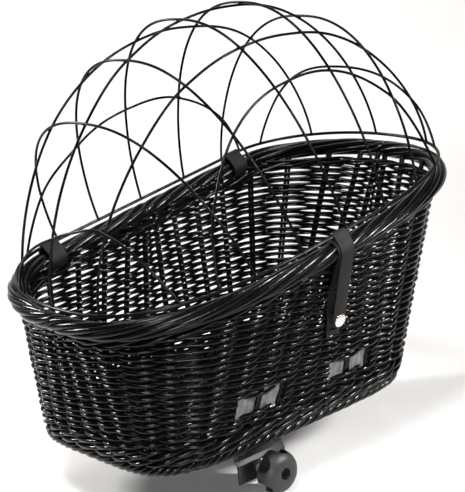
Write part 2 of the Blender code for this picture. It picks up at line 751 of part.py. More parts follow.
def build_loops(wall):
    """Leather loops round the rim wire and the border; each passes through a notch in the wall."""
    for name, along in (("low", -LOOP_OFFSET), ("high", LOOP_OFFSET)):
        overhang, rise = border_section(along, True)
        drop = -rise
        outlines = []
        for grow in (GAP, GAP + LEATHER_THICKNESS):
            outlines.append(belt_points(RIM_WIRE_RADIUS + LOOP_WIRE_EASE + grow,
                                        BORDER_RADIUS + LOOP_EASE + grow, drop, overhang, LOOP_STEPS))
        sections = []
        for inner, outer in zip(*outlines):
            section = []
            for (out, up), side in ((inner, -1), (outer, -1), (outer, 1), (inner, 1)):
                section.append(rim_place(along + side * LOOP_WIDTH / 2, RIM_HALF_WIDTH + out, up))
            sections.append(section)
        link_object(f"hinge_loop_{name}", loft_mesh(f"hinge_loop_{name}", sections, True, True), LEATHER)
        half = LOOP_WIDTH / 2 + GAP
        bottom = -drop - BORDER_RADIUS - LOOP_EASE - LEATHER_STACK
        notch = add_box(f"loop_notch_{name}", (-half, -NOTCH_REACH, bottom), (half, NOTCH_REACH, NOTCH_REACH + bottom),
                        None, collection=CUTTERS)
        notch.location = Vector(rim_place(along, RIM_HALF_WIDTH))
        notch.rotation_euler = (0.0, -RIM_SLOPE, 0.0)
        cut(wall, notch)


def rim_local_place(x, out, up):
    """World place of a section point at a world x, outward and up from the near rim wire's centre."""
    along = (x - RIM_MID[0] + math.sin(RIM_SLOPE) * up) / math.cos(RIM_SLOPE)
    return rim_place(along, near_rim(STRAP_TOP_SHIFT) - out, up)


def near_wall_place(x, height, inset):
    """Place on the near wall at a world x and a height above the foot."""
    angle = angle_at_x(x, height, False)
    return wall_point(angle, share_at_height(angle, height), inset)


def strap_layer(thickness, below):
    """Radius of a strap's middle layer round the border, above the given layers."""
    return BORDER_RADIUS + GAP + below + thickness / 2


def build_tab():
    """Leather tab over the border and down the near wall, which carries the stud."""
    x = BASKET_CENTRE_X + STRAP_SNAP_SHIFT
    border_out, border_up = border_section(STRAP_TOP_SHIFT, False)
    radius = strap_layer(TAB_THICKNESS, 0.0)
    lean = math.tan(RIM_SLOPE) * STRAP_WIDTH / 2
    pivot = rim_place(STRAP_TOP_SHIFT, near_rim(STRAP_TOP_SHIFT))
    contact = near_wall_place(x, TAB_WALL_TOP_ABOVE_BASE, -GAP - TAB_THICKNESS / 2) - pivot
    contact_out = -contact[1] - border_out
    contact_up = float(contact @ RIM_UP) - border_up
    distance = math.hypot(contact_out, contact_up)
    leave = math.atan2(contact_up, contact_out) + math.acos(radius / distance)
    route = [(border_out - radius, border_up - TAB_INNER_DROP, math.pi)]
    for turn in np.linspace(math.pi, leave, LOOP_STEPS):
        route.append((border_out + radius * math.cos(turn), border_up + radius * math.sin(turn), turn))
    sections = []
    for out, up, turn in route:
        section = []
        for side, layer in ((-1, -1), (1, -1), (1, 1), (-1, 1)):
            reach = layer * TAB_THICKNESS / 2
            point = rim_local_place(x, out + reach * math.cos(turn), up + reach * math.sin(turn))
            section.append(point + RIM_ALONG * side * STRAP_WIDTH / 2)
        sections.append(section)
    for height in np.linspace(TAB_WALL_TOP_ABOVE_BASE, TAB_TIP_ABOVE_BASE, TAB_ROWS):
        section = []
        for side, inset in ((-1, -GAP), (1, -GAP), (1, -GAP - TAB_THICKNESS), (-1, -GAP - TAB_THICKNESS)):
            section.append(near_wall_place(x + side * STRAP_WIDTH / 2, height + side * lean, inset))
        sections.append(section)
    return link_object("strap_tab", loft_mesh("strap_tab", sections, True, False), LEATHER)


def strap_snap():
    """World place of the strap's middle layer at the snap and of the tab's face behind it."""
    x = BASKET_CENTRE_X + STRAP_SNAP_SHIFT
    face = near_wall_place(x, SNAP_HEIGHT_ABOVE_BASE, -GAP - TAB_THICKNESS)
    return face - WORLD_Y * (STRAP_STAND_OFF + LEATHER_THICKNESS / 2), face


def strap_route(snap_out, snap_up):
    """Middle layer of the strap as (outward, up) from the rim wire's centre, wrapped end first."""
    border_out, border_up = border_section(STRAP_TOP_SHIFT, False)
    wrap = RIM_WIRE_RADIUS + GAP + LEATHER_THICKNESS / 2
    over = strap_layer(LEATHER_THICKNESS, TAB_THICKNESS + GAP)
    between = math.hypot(border_out, border_up)
    meet = math.atan2(border_up, border_out) + math.acos((wrap - over) / between)
    reach = math.hypot(snap_out - border_out, snap_up - border_up)
    leave = math.atan2(snap_up - border_up, snap_out - border_out) + math.acos(over / reach)
    route = []
    for turn in np.linspace(STRAP_WRAP_START + 2 * math.pi, meet, 2 * LOOP_STEPS):
        route.append((wrap * math.cos(turn), wrap * math.sin(turn)))
    for turn in np.linspace(meet, leave, LOOP_STEPS):
        route.append((border_out + over * math.cos(turn), border_up + over * math.sin(turn)))
    return route


def build_strap(hinge):
    """Leather strap wrapped round the near rim wire and hanging over the border to the snap."""
    pivot = rim_place(STRAP_TOP_SHIFT, near_rim(STRAP_TOP_SHIFT))
    axis = make_empty("strap_axis", pivot, RIM_ALONG)
    bpy.context.view_layer.update()
    axis.parent = hinge
    axis.matrix_parent_inverse = hinge.matrix_world.inverted()
    bpy.context.view_layer.update()
    snap, face = strap_snap()
    snap_along, snap_out, snap_up = ((snap - pivot) @ RIM_ALONG, pivot[1] - snap[1], (snap - pivot) @ RIM_UP)
    hang = strap_route(snap_out, snap_up)
    drop = hang[-1][1] - snap_up
    lean = math.atan2(hang[-1][0] - snap_out, drop)
    line = np.array(hang + [
        (snap_out - STRAP_WIDTH / 2 * math.sin(turn) * math.sin(lean),
         snap_up - STRAP_WIDTH / 2 * math.sin(turn) * math.cos(lean))
        for turn in np.linspace(0.0, STRAP_TIP_TURN, STRAP_TIP_STEPS)])
    halves = [STRAP_WIDTH / 2] * len(hang)
    halves += [STRAP_WIDTH / 2 * math.cos(turn) for turn in np.linspace(0.0, STRAP_TIP_TURN, STRAP_TIP_STEPS)]
    tangent = np.gradient(line, axis=0)
    tangent /= np.linalg.norm(tangent, axis=1)[:, None]
    sections = []
    for (out, up), (run_out, run_up), half in zip(line, tangent, halves):
        drift = snap_along * min(max(-up, 0.0) / -snap_up, 1.0)
        section = []
        for side, layer in ((-1, -1), (1, -1), (1, 1), (-1, 1)):
            reach = layer * LEATHER_THICKNESS / 2
            section.append((drift + side * half, -(out - run_up * reach), up + run_out * reach))
        sections.append(section)
    link_object("front_strap", loft_mesh("front_strap", sections, True, False), LEATHER, axis)
    rise = SNAP_CAP_HEIGHT
    profile = [(0.0, rise), (SNAP_CAP_RADIUS - SNAP_CAP_EDGE, rise - SNAP_CAP_EDGE / 4),
               (SNAP_CAP_RADIUS, rise - SNAP_CAP_EDGE), (SNAP_CAP_RADIUS, 0.0), (0.0, 0.0)]
    cap = add_turned("snap_cap", profile, 28, SNAP_METAL, axis)
    seat = LEATHER_THICKNESS / 2 + GAP
    cap.location = (snap_along, -(snap_out + seat * math.cos(lean)), snap_up - seat * math.sin(lean))
    cap.rotation_euler = (math.pi / 2 + lean, 0.0, 0.0)
    length = STRAP_STAND_OFF - GAP - SNAP_STUD_EASE
    stud = add_cylinder("snap_stud", SNAP_STUD_RADIUS, length, 20, SNAP_METAL)
    wall_foot = near_wall_place(snap[0], SNAP_HEIGHT_ABOVE_BASE - SNAP_CAP_RADIUS, 0.0)
    wall_head = near_wall_place(snap[0], SNAP_HEIGHT_ABOVE_BASE + SNAP_CAP_RADIUS, 0.0)
    wall_lean = math.atan2(wall_foot[1] - wall_head[1], wall_head[2] - wall_foot[2])
    stud.location = Vector((snap[0], face[1] - GAP, face[2]))
    stud.rotation_euler = (math.pi / 2 + wall_lean, 0.0, 0.0)


def add_jaw(name, face_y, inward, joggle):
    """Bent plate that hooks on the rack, with a neck and a leg that run between the rails."""
    top = RAIL_BOTTOM - SLIDE_CLEARANCE
    low = JAW_BOTTOM + JAW_JOGGLE_ABOVE_TIP
    near = [(0.0, JAW_BOTTOM), (0.0, low), (joggle, low + joggle), (joggle, top)]
    if joggle == 0.0:
        near = [(0.0, JAW_BOTTOM), (0.0, top)]
    profile = [(face_y + inward * y, z) for y, z in near]
    profile += [(face_y + inward * (y + SHEET), z) for y, z in reversed(near)]
    jaw = add_outline(name, profile, JAW_WIDTH, CLAMP_STEEL)
    jaw.rotation_euler = (math.pi / 2, 0.0, math.pi / 2)
    jaw.location = (CLAMP_X, 0.0, 0.0)
    jaw = curve_to_mesh(jaw)
    leg_top = RAIL_TOP - SLIDE_CLEARANCE
    back = sorted((face_y + inward * joggle, face_y + inward * (joggle + SHEET)))
    neck = add_box(name + "_neck", (CLAMP_X - JAW_NECK_WIDTH / 2, back[0], top - SHEET),
                   (CLAMP_X + JAW_NECK_WIDTH / 2, back[1], leg_top), None, collection=CUTTERS)
    span = sorted((face_y + inward * joggle, face_y + inward * JAW_LEG_LENGTH))
    leg = add_box(name + "_leg", (CLAMP_X - JAW_LEG_WIDTH / 2, span[0], leg_top - SHEET),
                  (CLAMP_X + JAW_LEG_WIDTH / 2, span[1], leg_top), None, collection=CUTTERS)
    join(jaw, neck)
    join(jaw, leg)
    bore = add_cylinder(name + "_bore", ROD_RADIUS + BORE_CLEARANCE, 4 * SHEET, 20, None, collection=CUTTERS)
    bore.rotation_euler = (math.pi / 2, 0.0, 0.0)
    bore.location = (CLAMP_X, face_y + 2 * SHEET, ROD_Z)
    cut(jaw, bore)
    return jaw


def build_clamp():
    """Adapter plate, guide rails, hook, sliding jaw, rod, nuts, washer and knob."""
    half_plate = PLATE_LENGTH_X / 2
    plate = add_box("clamp_plate", (CLAMP_X - half_plate, PLATE_NEAR_Y, PLATE_BOTTOM),
                    (CLAMP_X + half_plate, PLATE_FAR_Y, PLATE_TOP), CLAMP_STEEL)
    for index, (x, y) in enumerate(bolt_places(), start=1):
        hole = add_cylinder(f"plate_hole_{index}", BOLT_RADIUS + GAP, SHEET + 2 * OVERRUN, 16, None,
                            collection=CUTTERS)
        hole.location = (x, y, PLATE_BOTTOM - OVERRUN)
        cut(plate, hole)
    for name, side in (("low", -1), ("high", 1)):
        inner, outer = RAIL_INNER_X, RAIL_INNER_X + SHEET
        lip = RAIL_INNER_X - RAIL_LIP
        outline = [(side * inner, 0.0), (side * outer, 0.0), (side * outer, -RAIL_DEPTH),
                   (side * lip, -RAIL_DEPTH), (side * lip, SHEET - RAIL_DEPTH), (side * inner, SHEET - RAIL_DEPTH)]
        rail = add_outline(f"guide_rail_{name}", outline, RAIL_FAR_Y - RAIL_NEAR_Y, CLAMP_STEEL)
        rail.rotation_euler = (math.pi / 2, 0.0, 0.0)
        rail.location = (CLAMP_X, (RAIL_FAR_Y + RAIL_NEAR_Y) / 2, RAIL_TOP)
    add_jaw("fixed_hook", HOOK_Y, -1, 0.0)
    slide = make_empty("jaw_slide_origin", (CLAMP_X, JAW_Y, ROD_Z))
    bpy.context.view_layer.update()
    jaw = add_jaw("sliding_jaw", JAW_Y, 1, JAW_JOGGLE)
    jaw.parent = slide
    jaw.matrix_parent_inverse = slide.matrix_world.inverted()
    bore = ROD_RADIUS + BORE_CLEARANCE
    hook_back = HOOK_Y
    rod_far = hook_back + NUT_THICKNESS + ROD_TAIL
    rod = add_cylinder("clamp_rod", ROD_RADIUS, rod_far - ROD_NEAR_Y, 20, ZINC)
    rod.rotation_euler = (math.pi / 2, 0.0, 0.0)
    rod.location = (CLAMP_X, rod_far, ROD_Z)
    for name, y in (("outer", hook_back + GAP + NUT_THICKNESS), ("inner", hook_back - SHEET - GAP)):
        nut = add_hex(f"rod_nut_{name}", NUT_ACROSS_FLATS, NUT_THICKNESS, ZINC)
        nut.rotation_euler = (math.pi / 2, 0.0, 0.0)
        nut.location = (CLAMP_X, y, ROD_Z)
        hole = add_cylinder(f"nut_hole_{name}", bore, NUT_THICKNESS + 2 * OVERRUN, 20, None, collection=CUTTERS)
        hole.rotation_euler = (math.pi / 2, 0.0, 0.0)
        hole.location = (CLAMP_X, y + OVERRUN, ROD_Z)
        cut(nut, hole)
    washer = add_ring("clamp_washer", WASHER_RADIUS, bore, WASHER_THICKNESS, 28, ZINC, slide)
    washer.rotation_euler = (math.pi / 2, 0.0, 0.0)
    washer.location = (0.0, -GAP, 0.0)
    collar = add_ring("clamp_collar", COLLAR_RADIUS, bore, COLLAR_LENGTH, 24, ZINC, slide)
    collar.rotation_euler = (math.pi / 2, 0.0, 0.0)
    collar.location = (0.0, -2 * GAP - WASHER_THICKNESS, 0.0)
    build_knob(slide)


def knob_profile():
    """Knob's outline as (radius, height): domed face at the top, hub at the bottom."""
    points = [(0.0, KNOB_LENGTH)]
    side_top = KNOB_LENGTH - (KNOB_RADIUS - KNOB_FACE_RADIUS)
    for turn in np.linspace(math.pi / 2, 0.0, 6):
        points.append((KNOB_FACE_RADIUS + (KNOB_RADIUS - KNOB_FACE_RADIUS) * math.cos(turn),
                       side_top + (KNOB_LENGTH - side_top) * math.sin(turn)))
    points.append((KNOB_RADIUS, KNOB_HUB_LENGTH + (KNOB_RADIUS - KNOB_HUB_RADIUS) / 2))
    points.append((KNOB_HUB_RADIUS, KNOB_HUB_LENGTH))
    points.append((KNOB_HUB_RADIUS, 0.0))
    points.append((0.0, 0.0))
    return points


def build_knob(slide):
    """Five-lobed knob with scallops from behind, a bore and a hexagonal socket in its face."""
    axis = make_empty("knob_axis", (0.0, -3 * GAP - WASHER_THICKNESS - COLLAR_LENGTH, 0.0))
    axis.parent = slide
    bpy.context.view_layer.update()
    knob = add_turned("star_knob", knob_profile(), 36, KNOB_PLASTIC, axis)
    knob.rotation_euler = (math.pi / 2, 0.0, 0.0)
    for index in range(KNOB_LOBES):
        turn = FIRST_SCALLOP_TURN + 2 * math.pi * index / KNOB_LOBES
        profile = [(SCALLOP_RADIUS * math.cos(bend), SCALLOP_LENGTH - SCALLOP_RADIUS * (1 - math.sin(bend)))
                   for bend in np.linspace(math.pi / 2, 0.0, 5)]
        profile[0] = (0.0, SCALLOP_LENGTH)
        profile += [(SCALLOP_RADIUS, -OVERRUN), (0.0, -OVERRUN)]
        scallop = add_turned(f"scallop_{index + 1}", profile, 20, None, axis, CUTTERS)
        scallop.rotation_euler = (math.pi / 2, 0.0, 0.0)
        scallop.location = (SCALLOP_OFFSET * math.cos(turn), 0.0, SCALLOP_OFFSET * math.sin(turn))
        cut(knob, scallop)
    socket = add_hex("knob_socket", SOCKET_ACROSS_FLATS, SOCKET_DEPTH + OVERRUN, None, axis, CUTTERS)
    socket.rotation_euler = (math.pi / 2, 0.0, 0.0)
    socket.location = (0.0, SOCKET_DEPTH - KNOB_LENGTH, 0.0)
    cut(knob, socket)
    bore = add_cylinder("knob_bore", ROD_RADIUS + BORE_CLEARANCE, KNOB_LENGTH + 2 * OVERRUN, 20, None, axis, CUTTERS)
    bore.rotation_euler = (math.pi / 2, 0.0, 0.0)
    bore.location = (0.0, OVERRUN, 0.0)
    cut(knob, bore)


def build_fasteners():
    """Two strips inside the basket and the four bolts and nuts that hold the clamp on."""
    half_strip = BOLT_SPACING_X / 2 + STRIP_OVERHANG
    for name, y in (("near", BOLT_NEAR_Y), ("far", BOLT_FAR_Y)):
        strip = add_box(f"base_strip_{name}", (CLAMP_X - half_strip, y - STRIP_WIDTH / 2, STRIP_BOTTOM),
                        (CLAMP_X + half_strip, y + STRIP_WIDTH / 2, STRIP_TOP), CLAMP_STEEL)
        for side_name, side in (("low", -1), ("high", 1)):
            hole = add_cylinder(f"strip_hole_{name}_{side_name}", BOLT_RADIUS + GAP, STRIP_THICKNESS + 2 * OVERRUN,
                                16, None, collection=CUTTERS)
            hole.location = (CLAMP_X + side * BOLT_SPACING_X / 2, y, STRIP_BOTTOM - OVERRUN)
            cut(strip, hole)
    nut_top = PLATE_BOTTOM - GAP
    shank_bottom = nut_top - BOLT_NUT_THICKNESS - BOLT_TAIL
    seat = STRIP_TOP + GAP
    for index, (x, y) in enumerate(bolt_places(), start=1):
        dome = [(BOLT_HEAD_RADIUS * math.sin(bend), seat + BOLT_HEAD_HEIGHT * math.cos(bend))
                for bend in np.linspace(0.0, math.pi / 2, 5)]
        dome[0] = (0.0, seat + BOLT_HEAD_HEIGHT)
        profile = dome + [(BOLT_RADIUS, seat), (BOLT_RADIUS, shank_bottom), (0.0, shank_bottom)]
        bolt = add_turned(f"base_bolt_{index}", profile, 18, ZINC)
        bolt.location = (x, y, 0.0)
        nut = add_hex(f"base_nut_{index}", BOLT_NUT_ACROSS_FLATS, BOLT_NUT_THICKNESS, ZINC)
        nut.location = (x, y, nut_top - BOLT_NUT_THICKNESS)
        hole = add_cylinder(f"base_nut_hole_{index}", BOLT_RADIUS + GAP, BOLT_NUT_THICKNESS + 2 * OVERRUN, 16,
                            None, collection=CUTTERS)
        hole.location = (x, y, nut_top - BOLT_NUT_THICKNESS - OVERRUN)
        cut(nut, hole)


def main():
    wall = build_wall()
    cut_windows(wall)
    build_loops(wall)
    build_border()
    build_foot()
    build_base()
    build_bands()
    hinge = build_hood()
    build_strap(hinge)
    build_tab()
    build_clamp()
    build_fasteners()


main()
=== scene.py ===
"""Dog bicycle basket, dressed: woven black willow, welded wire hood, leather, cloth and clamp.

Metres, +Z up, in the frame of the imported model. Each piece has its place in its mesh.
"""

import math

import bmesh
import bpy
import numpy as np
from bpy.props import FloatProperty, FloatVectorProperty, IntProperty, PointerProperty
from mathutils import Matrix, Vector


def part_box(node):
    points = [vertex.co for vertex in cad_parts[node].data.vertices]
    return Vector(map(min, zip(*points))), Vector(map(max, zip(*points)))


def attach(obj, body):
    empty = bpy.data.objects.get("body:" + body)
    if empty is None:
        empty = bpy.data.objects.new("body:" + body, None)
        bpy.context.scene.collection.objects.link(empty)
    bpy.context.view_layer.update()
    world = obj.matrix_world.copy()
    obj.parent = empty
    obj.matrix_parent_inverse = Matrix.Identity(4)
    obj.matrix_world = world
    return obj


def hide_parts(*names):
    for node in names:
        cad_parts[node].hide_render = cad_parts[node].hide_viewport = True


bl_info = {
    "name": "Dog Bicycle Basket",
    "version": (1, 0, 0),
    "blender": (4, 5, 0),
    "location": "View3D > Sidebar > Basket",
    "description": "Weaves and dresses a dog basket for a bicycle rack",
    "category": "Object",
}

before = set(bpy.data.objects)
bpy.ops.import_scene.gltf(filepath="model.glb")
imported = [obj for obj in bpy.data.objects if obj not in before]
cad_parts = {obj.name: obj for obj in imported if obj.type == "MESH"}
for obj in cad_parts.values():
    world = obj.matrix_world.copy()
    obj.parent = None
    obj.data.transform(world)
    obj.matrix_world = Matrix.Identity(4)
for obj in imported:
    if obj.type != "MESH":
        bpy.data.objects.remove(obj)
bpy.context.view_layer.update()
SEED = 11


def linear(code):
    """Linear colour of an sRGB hex value."""
    channels = [int(code[start:start + 2], 16) / 255 for start in (1, 3, 5)]
    return [c / 12.92 if c <= 0.04045 else ((c + 0.055) / 1.055) ** 2.4 for c in channels]


def length(name, default, description):
    return FloatProperty(name=name, default=default, min=0.0, precision=4, unit="LENGTH",
                         description=description)


def place(name, default, description):
    return FloatProperty(name=name, default=default, precision=4, unit="LENGTH", description=description)


def colour(name, code, description):
    return FloatVectorProperty(name=name, default=linear(code), size=3, min=0.0, max=1.0, subtype="COLOR",
                               description=description)


def whole(name, default, description):
    return IntProperty(name=name, default=default, description=description)


def number(name, default, description):
    return FloatProperty(name=name, default=default, description=description)


class TubSizes(bpy.types.PropertyGroup):
    rim_half_length: length("Rim half length", 0.2932, "Half the rim wire's length, along its slope")
    rim_half_width: length("Rim half width", 0.188, "Half the rim wire's width")
    rim_straight_half: length("Straight half", 0.171, "Half the straight run of the rim's hinge side")
    rim_power: number("Rim power", 2.8, "Squareness of the rim's near side")
    rim_slope: FloatProperty(name="Rim slope", default=math.radians(8.56), subtype="ANGLE",
                             description="Rise of the rim towards the high end")
    rim_height: length("Rim height", 0.244, "Middle of the rim above the foot")
    foot_level: length("Foot level", 0.065, "Height of the foot above the lowest point")
    base_half_length: length("Base half length", 0.2193, "Half the base's length")
    base_half_width: length("Base half width", 0.1459, "Half the base's width")
    base_shift: place("Base shift", -0.048, "Middle of the base from the middle of the rim")
    base_power: number("Base power", 4.7, "Squareness of the base")
    centre_x: place("Centre", 0.0027, "Middle of the rim along the basket")
    wall_thickness: length("Wall thickness", 0.008, "From inside to outside of the weave")
    border_radius: length("Border radius", 0.0122, "Radius of the rolled border")
    border_drop: length("Border drop", 0.0181, "Middle of the border below the rim's plane")
    border_overhang: length("Border overhang", 0.0025, "Middle of the border outside the wall")
    foot_radius: length("Foot radius", 0.008, "Radius of the twisted foot")
    foot_inset: length("Foot inset", 0.006, "Middle of the foot inside the wall")


class WeaveSizes(bpy.types.PropertyGroup):
    stake_spacing: length("Stake spacing", 0.03775, "Between stakes along the straight sides")
    side_stakes: whole("Side stakes", 11, "Stakes along each straight side")
    low_stakes: whole("Low end stakes", 8, "Stakes round the low end")
    high_stakes: whole("High end stakes", 8, "Stakes round the high end")
    stake_radius: length("Stake radius", 0.0022, "Radius of each rod of a paired stake")
    pair_gap: length("Pair gap", 0.0023, "Half the distance between the rods of a stake")
    weaver_radius: length("Weaver radius", 0.0025, "Radius of a weaver at its middle")
    weaver_swing: length("Weaver swing", 0.0048, "How far a weaver goes to each side of the stakes")
    row_pitch: length("Row pitch", 0.0042, "Height of one row")
    steps: whole("Steps", 7, "Points of a weaver from stake to stake")
    wale_radius: length("Wale radius", 0.0027, "Radius of a rod in a three-rod wale")
    wale_rise: length("Wale rise", 0.0034, "How far a wale's rods rise and fall")
    border_rod_radius: length("Border rod radius", 0.0040, "Radius of a rod of the rolled border")
    border_rods: whole("Border rods", 7, "Rods side by side in the border")
    border_turns: whole("Border turns", 5, "Turns that each border rod makes")
    foot_rod_radius: length("Foot rod radius", 0.0034, "Radius of a rod of the twisted foot")
    foot_rods: whole("Foot rods", 5, "Rods twisted in the foot")
    foot_turns: whole("Foot turns", 18, "Turns of the foot round the basket")
    window_level: length("Window level", 0.063, "Middle of the windows above the foot")
    window_height: length("Window height", 0.018, "Height of the windows")
    rib_spacing: length("Rib spacing", 0.040, "Between the base's ribs")
    wobble: length("Wobble", 0.0009, "How far a rod strays from its line")


class HoodSizes(bpy.types.PropertyGroup):
    rim_wire_radius: length("Rim wire radius", 0.0022, "Radius of the hood's rim wire")
    arch_wire_radius: length("Arch wire radius", 0.0017, "Radius of the arches' wire")
    weld_radius: length("Weld radius", 0.0021, "Radius of a weld where wires meet")
    outer_rise: length("Outer rise", 0.135, "Rise of the long arches on the long sides")
    outer_lean: number("Outer lean", 0.20, "Inward lean of these arches")
    run_power: number("Run power", 2.4, "How evenly an arch runs along")
    rise_power: number("Rise power", 1.6, "How square an arch's top is")
    end_power: number("End power", 1.1, "The same for the low arches")


class Finishes(bpy.types.PropertyGroup):
    willow: colour("Willow", "#040405", "Black lacquer on peeled willow")
    willow_light: colour("Worn willow", "#0d0c0c", "Thinner lacquer over the grain")
    wire: colour("Wire", "#050505", "Coating of the hood's wire")
    leather: colour("Leather", "#0a0909", "Dark leather")
    leather_light: colour("Leather grain", "#171413", "Tops of the leather's grain")
    cloth: colour("Cloth", "#58595c", "Reflective yarn")
    cloth_dark: colour("Cloth ground", "#2f2f32", "Ground yarn between the reflective yarns")
    nickel: colour("Nickel", "#e6e3de", "Plating of the press stud")
    powder: colour("Powder coat", "#0c0c0d", "Coating of the clamp's sheet steel")
    zinc: colour("Zinc", "#bfbebd", "Bright zinc plating")
    nylon: colour("Nylon", "#151516", "Moulded nylon of the knob")
    floor: colour("Floor", "#e6e3e1", "Plain pale floor")


GROUPS = {"tub_sizes": TubSizes, "weave_sizes": WeaveSizes, "hood_sizes": HoodSizes, "finishes": Finishes}


def sizes(group):
    return getattr(bpy.context.scene, group)


ACROSS = (0.0, 1.0, 0.0)
QUARTER_ANGLES = 300
NORMAL_STEP = 0.04
WINDOW_STAKES = 2


class Tub:
    """The wall's surface. A turn is a place round the basket, counted in stakes from the high end."""

    def __init__(self):
        self.size = sizes("tub_sizes")
        self.weave = sizes("weave_sizes")
        s = self.size
        self.along = np.array([math.cos(s.rim_slope), 0.0, math.sin(s.rim_slope)])
        self.up = np.array([-math.sin(s.rim_slope), 0.0, math.cos(s.rim_slope)])
        self.middle = np.array([s.centre_x, 0.0, s.foot_level + s.rim_height])
        share = np.linspace(0.0, 1.0, QUARTER_ANGLES + 1)[:-1]
        crowded = share ** 3 / (share ** 3 + (1 - share) ** 3)
        quarters = [math.pi / 2 * (quarter + crowded) for quarter in range(4)]
        self.angles = np.append(np.concatenate(quarters), 2 * math.pi)
        ring = self.at_height(self.angles, s.foot_level + self.weave.window_level)
        steps = np.hypot(*np.diff(ring[:, :2], axis=0).T)
        self.travel = np.concatenate(([0.0], np.cumsum(steps)))
        self.round = self.travel[-1]
        self.stakes = self.stake_places(ring[:, 0])
        self.count = len(self.stakes)

    def rim_plan(self, angle):
        s = self.size
        cosine, sine = np.cos(angle), np.sin(angle)
        along = s.rim_half_length * np.sign(cosine) * np.abs(cosine) ** (2 / s.rim_power)
        near = -s.rim_half_width * np.abs(sine) ** (2 / s.rim_power)
        past = np.maximum(np.abs(along) - s.rim_straight_half, 0.0)
        past = past / (s.rim_half_length - s.rim_straight_half)
        far = s.rim_half_width * np.sqrt(np.maximum(1.0 - past * past, 0.0))
        return along, np.where(sine <= 0, near, far)

    def rim(self, angle):
        along, across = self.rim_plan(angle)
        return self.middle + np.outer(along, self.along) + np.outer(across, ACROSS)

    def foot(self, angle):
        s = self.size
        cosine, sine = np.cos(angle), np.sin(angle)
        x = s.centre_x + s.base_shift
        x = x + s.base_half_length * np.sign(cosine) * np.abs(cosine) ** (2 / s.base_power)
        y = s.base_half_width * np.sign(sine) * np.abs(sine) ** (2 / s.base_power)
        return np.stack([x, y, np.full_like(x, s.foot_level)], axis=1)

    def at_height(self, angle, height):
        foot, rim = self.foot(angle), self.rim(angle)
        share = (height - foot[:, 2]) / (rim[:, 2] - foot[:, 2])
        return foot + (rim - foot) * share[:, None]

    def stake_places(self, ring_x):
        """Travel of each stake: even along both long sides, and even round both ends."""
        w = self.weave
        middle = self.size.centre_x + self.size.base_shift
        half = w.side_stakes // 2
        x = middle + w.stake_spacing * np.arange(-half, half + 1)
        cut = len(ring_x) // 2
        far = np.interp(x, ring_x[:cut + 1][::-1], self.travel[:cut + 1][::-1])[::-1]
        near = np.interp(x, ring_x[cut:], self.travel[cut:])
        low = np.linspace(far[-1], near[0], w.low_stakes + 2)[1:-1]
        high = np.linspace(near[-1], far[0] + self.round, w.high_stakes + 2)[1:-1]
        return np.concatenate([far, low, near, high])

    def angle(self, turn):
        whole = np.floor_divide(turn, self.count)
        rest = turn - whole * self.count
        knots = np.append(self.stakes, self.stakes[0] + self.round)
        travel = np.interp(rest, np.arange(self.count + 1), knots)
        return np.interp(np.mod(travel, self.round), self.travel, self.angles)

    def height_below_rim(self, turn, drop):
        angle = self.angle(turn)
        foot, rim = self.foot(angle), self.rim(angle)
        share = 1.0 - drop / ((rim - foot) @ self.up)
        return foot[:, 2] + share * (rim[:, 2] - foot[:, 2])

    def outward(self, turn, height):
        after = self.at_height(self.angle(turn + NORMAL_STEP), height)
        run = after - self.at_height(self.angle(turn - NORMAL_STEP), height)
        normal = np.stack([run[:, 1], -run[:, 0], np.zeros(len(run))], axis=1)
        return normal / np.linalg.norm(normal, axis=1)[:, None]

    def wall(self, turn, height, out=0.0):
        """Points on the wall, moved outwards from its outer face."""
        turn = np.asarray(turn, dtype=float)
        height = np.broadcast_to(height, turn.shape)
        out = np.broadcast_to(out, turn.shape)
        return self.at_height(self.angle(turn), height) + self.outward(turn, height) * out[:, None]

    def turns(self, steps):
        """Places all round the basket, with so many from stake to stake."""
        return np.arange(self.count * steps) / steps

    def vary(self, turn, variation, phase):
        """A sine of (amount, whole waves round the basket)."""
        amount, waves = variation
        return amount * np.sin(turn * 2 * math.pi * waves / self.count + phase)

    def window_turns(self):
        """Turn of the stake in the middle of each window, the far side's first."""
        w = self.weave
        half = w.side_stakes // 2
        near_middle = w.side_stakes + w.low_stakes + half
        return {"far_high": half - WINDOW_STAKES, "far_low": half + WINDOW_STAKES,
                "near_low": near_middle - WINDOW_STAKES, "near_high": near_middle + WINDOW_STAKES}


def rgba(value):
    """A colour from its hex value or from its name among the finishes."""
    return (*(linear(value) if value.startswith("#") else getattr(sizes("finishes"), value)), 1.0)


class Nodes:
    """A node tree in the making."""

    def add(self, kind, inputs=None, output=0, **settings):
        """An output of a new node. Its inputs are set or linked by name or number."""
        node = self.tree.nodes.new(kind)
        for name, value in settings.items():
            setattr(node, name, value)
        for key, value in (inputs or {}).items():
            if isinstance(value, bpy.types.NodeSocket):
                self.tree.links.new(value, node.inputs[key])
            else:
                node.inputs[key].default_value = value
        return node.outputs[output] if node.outputs else None


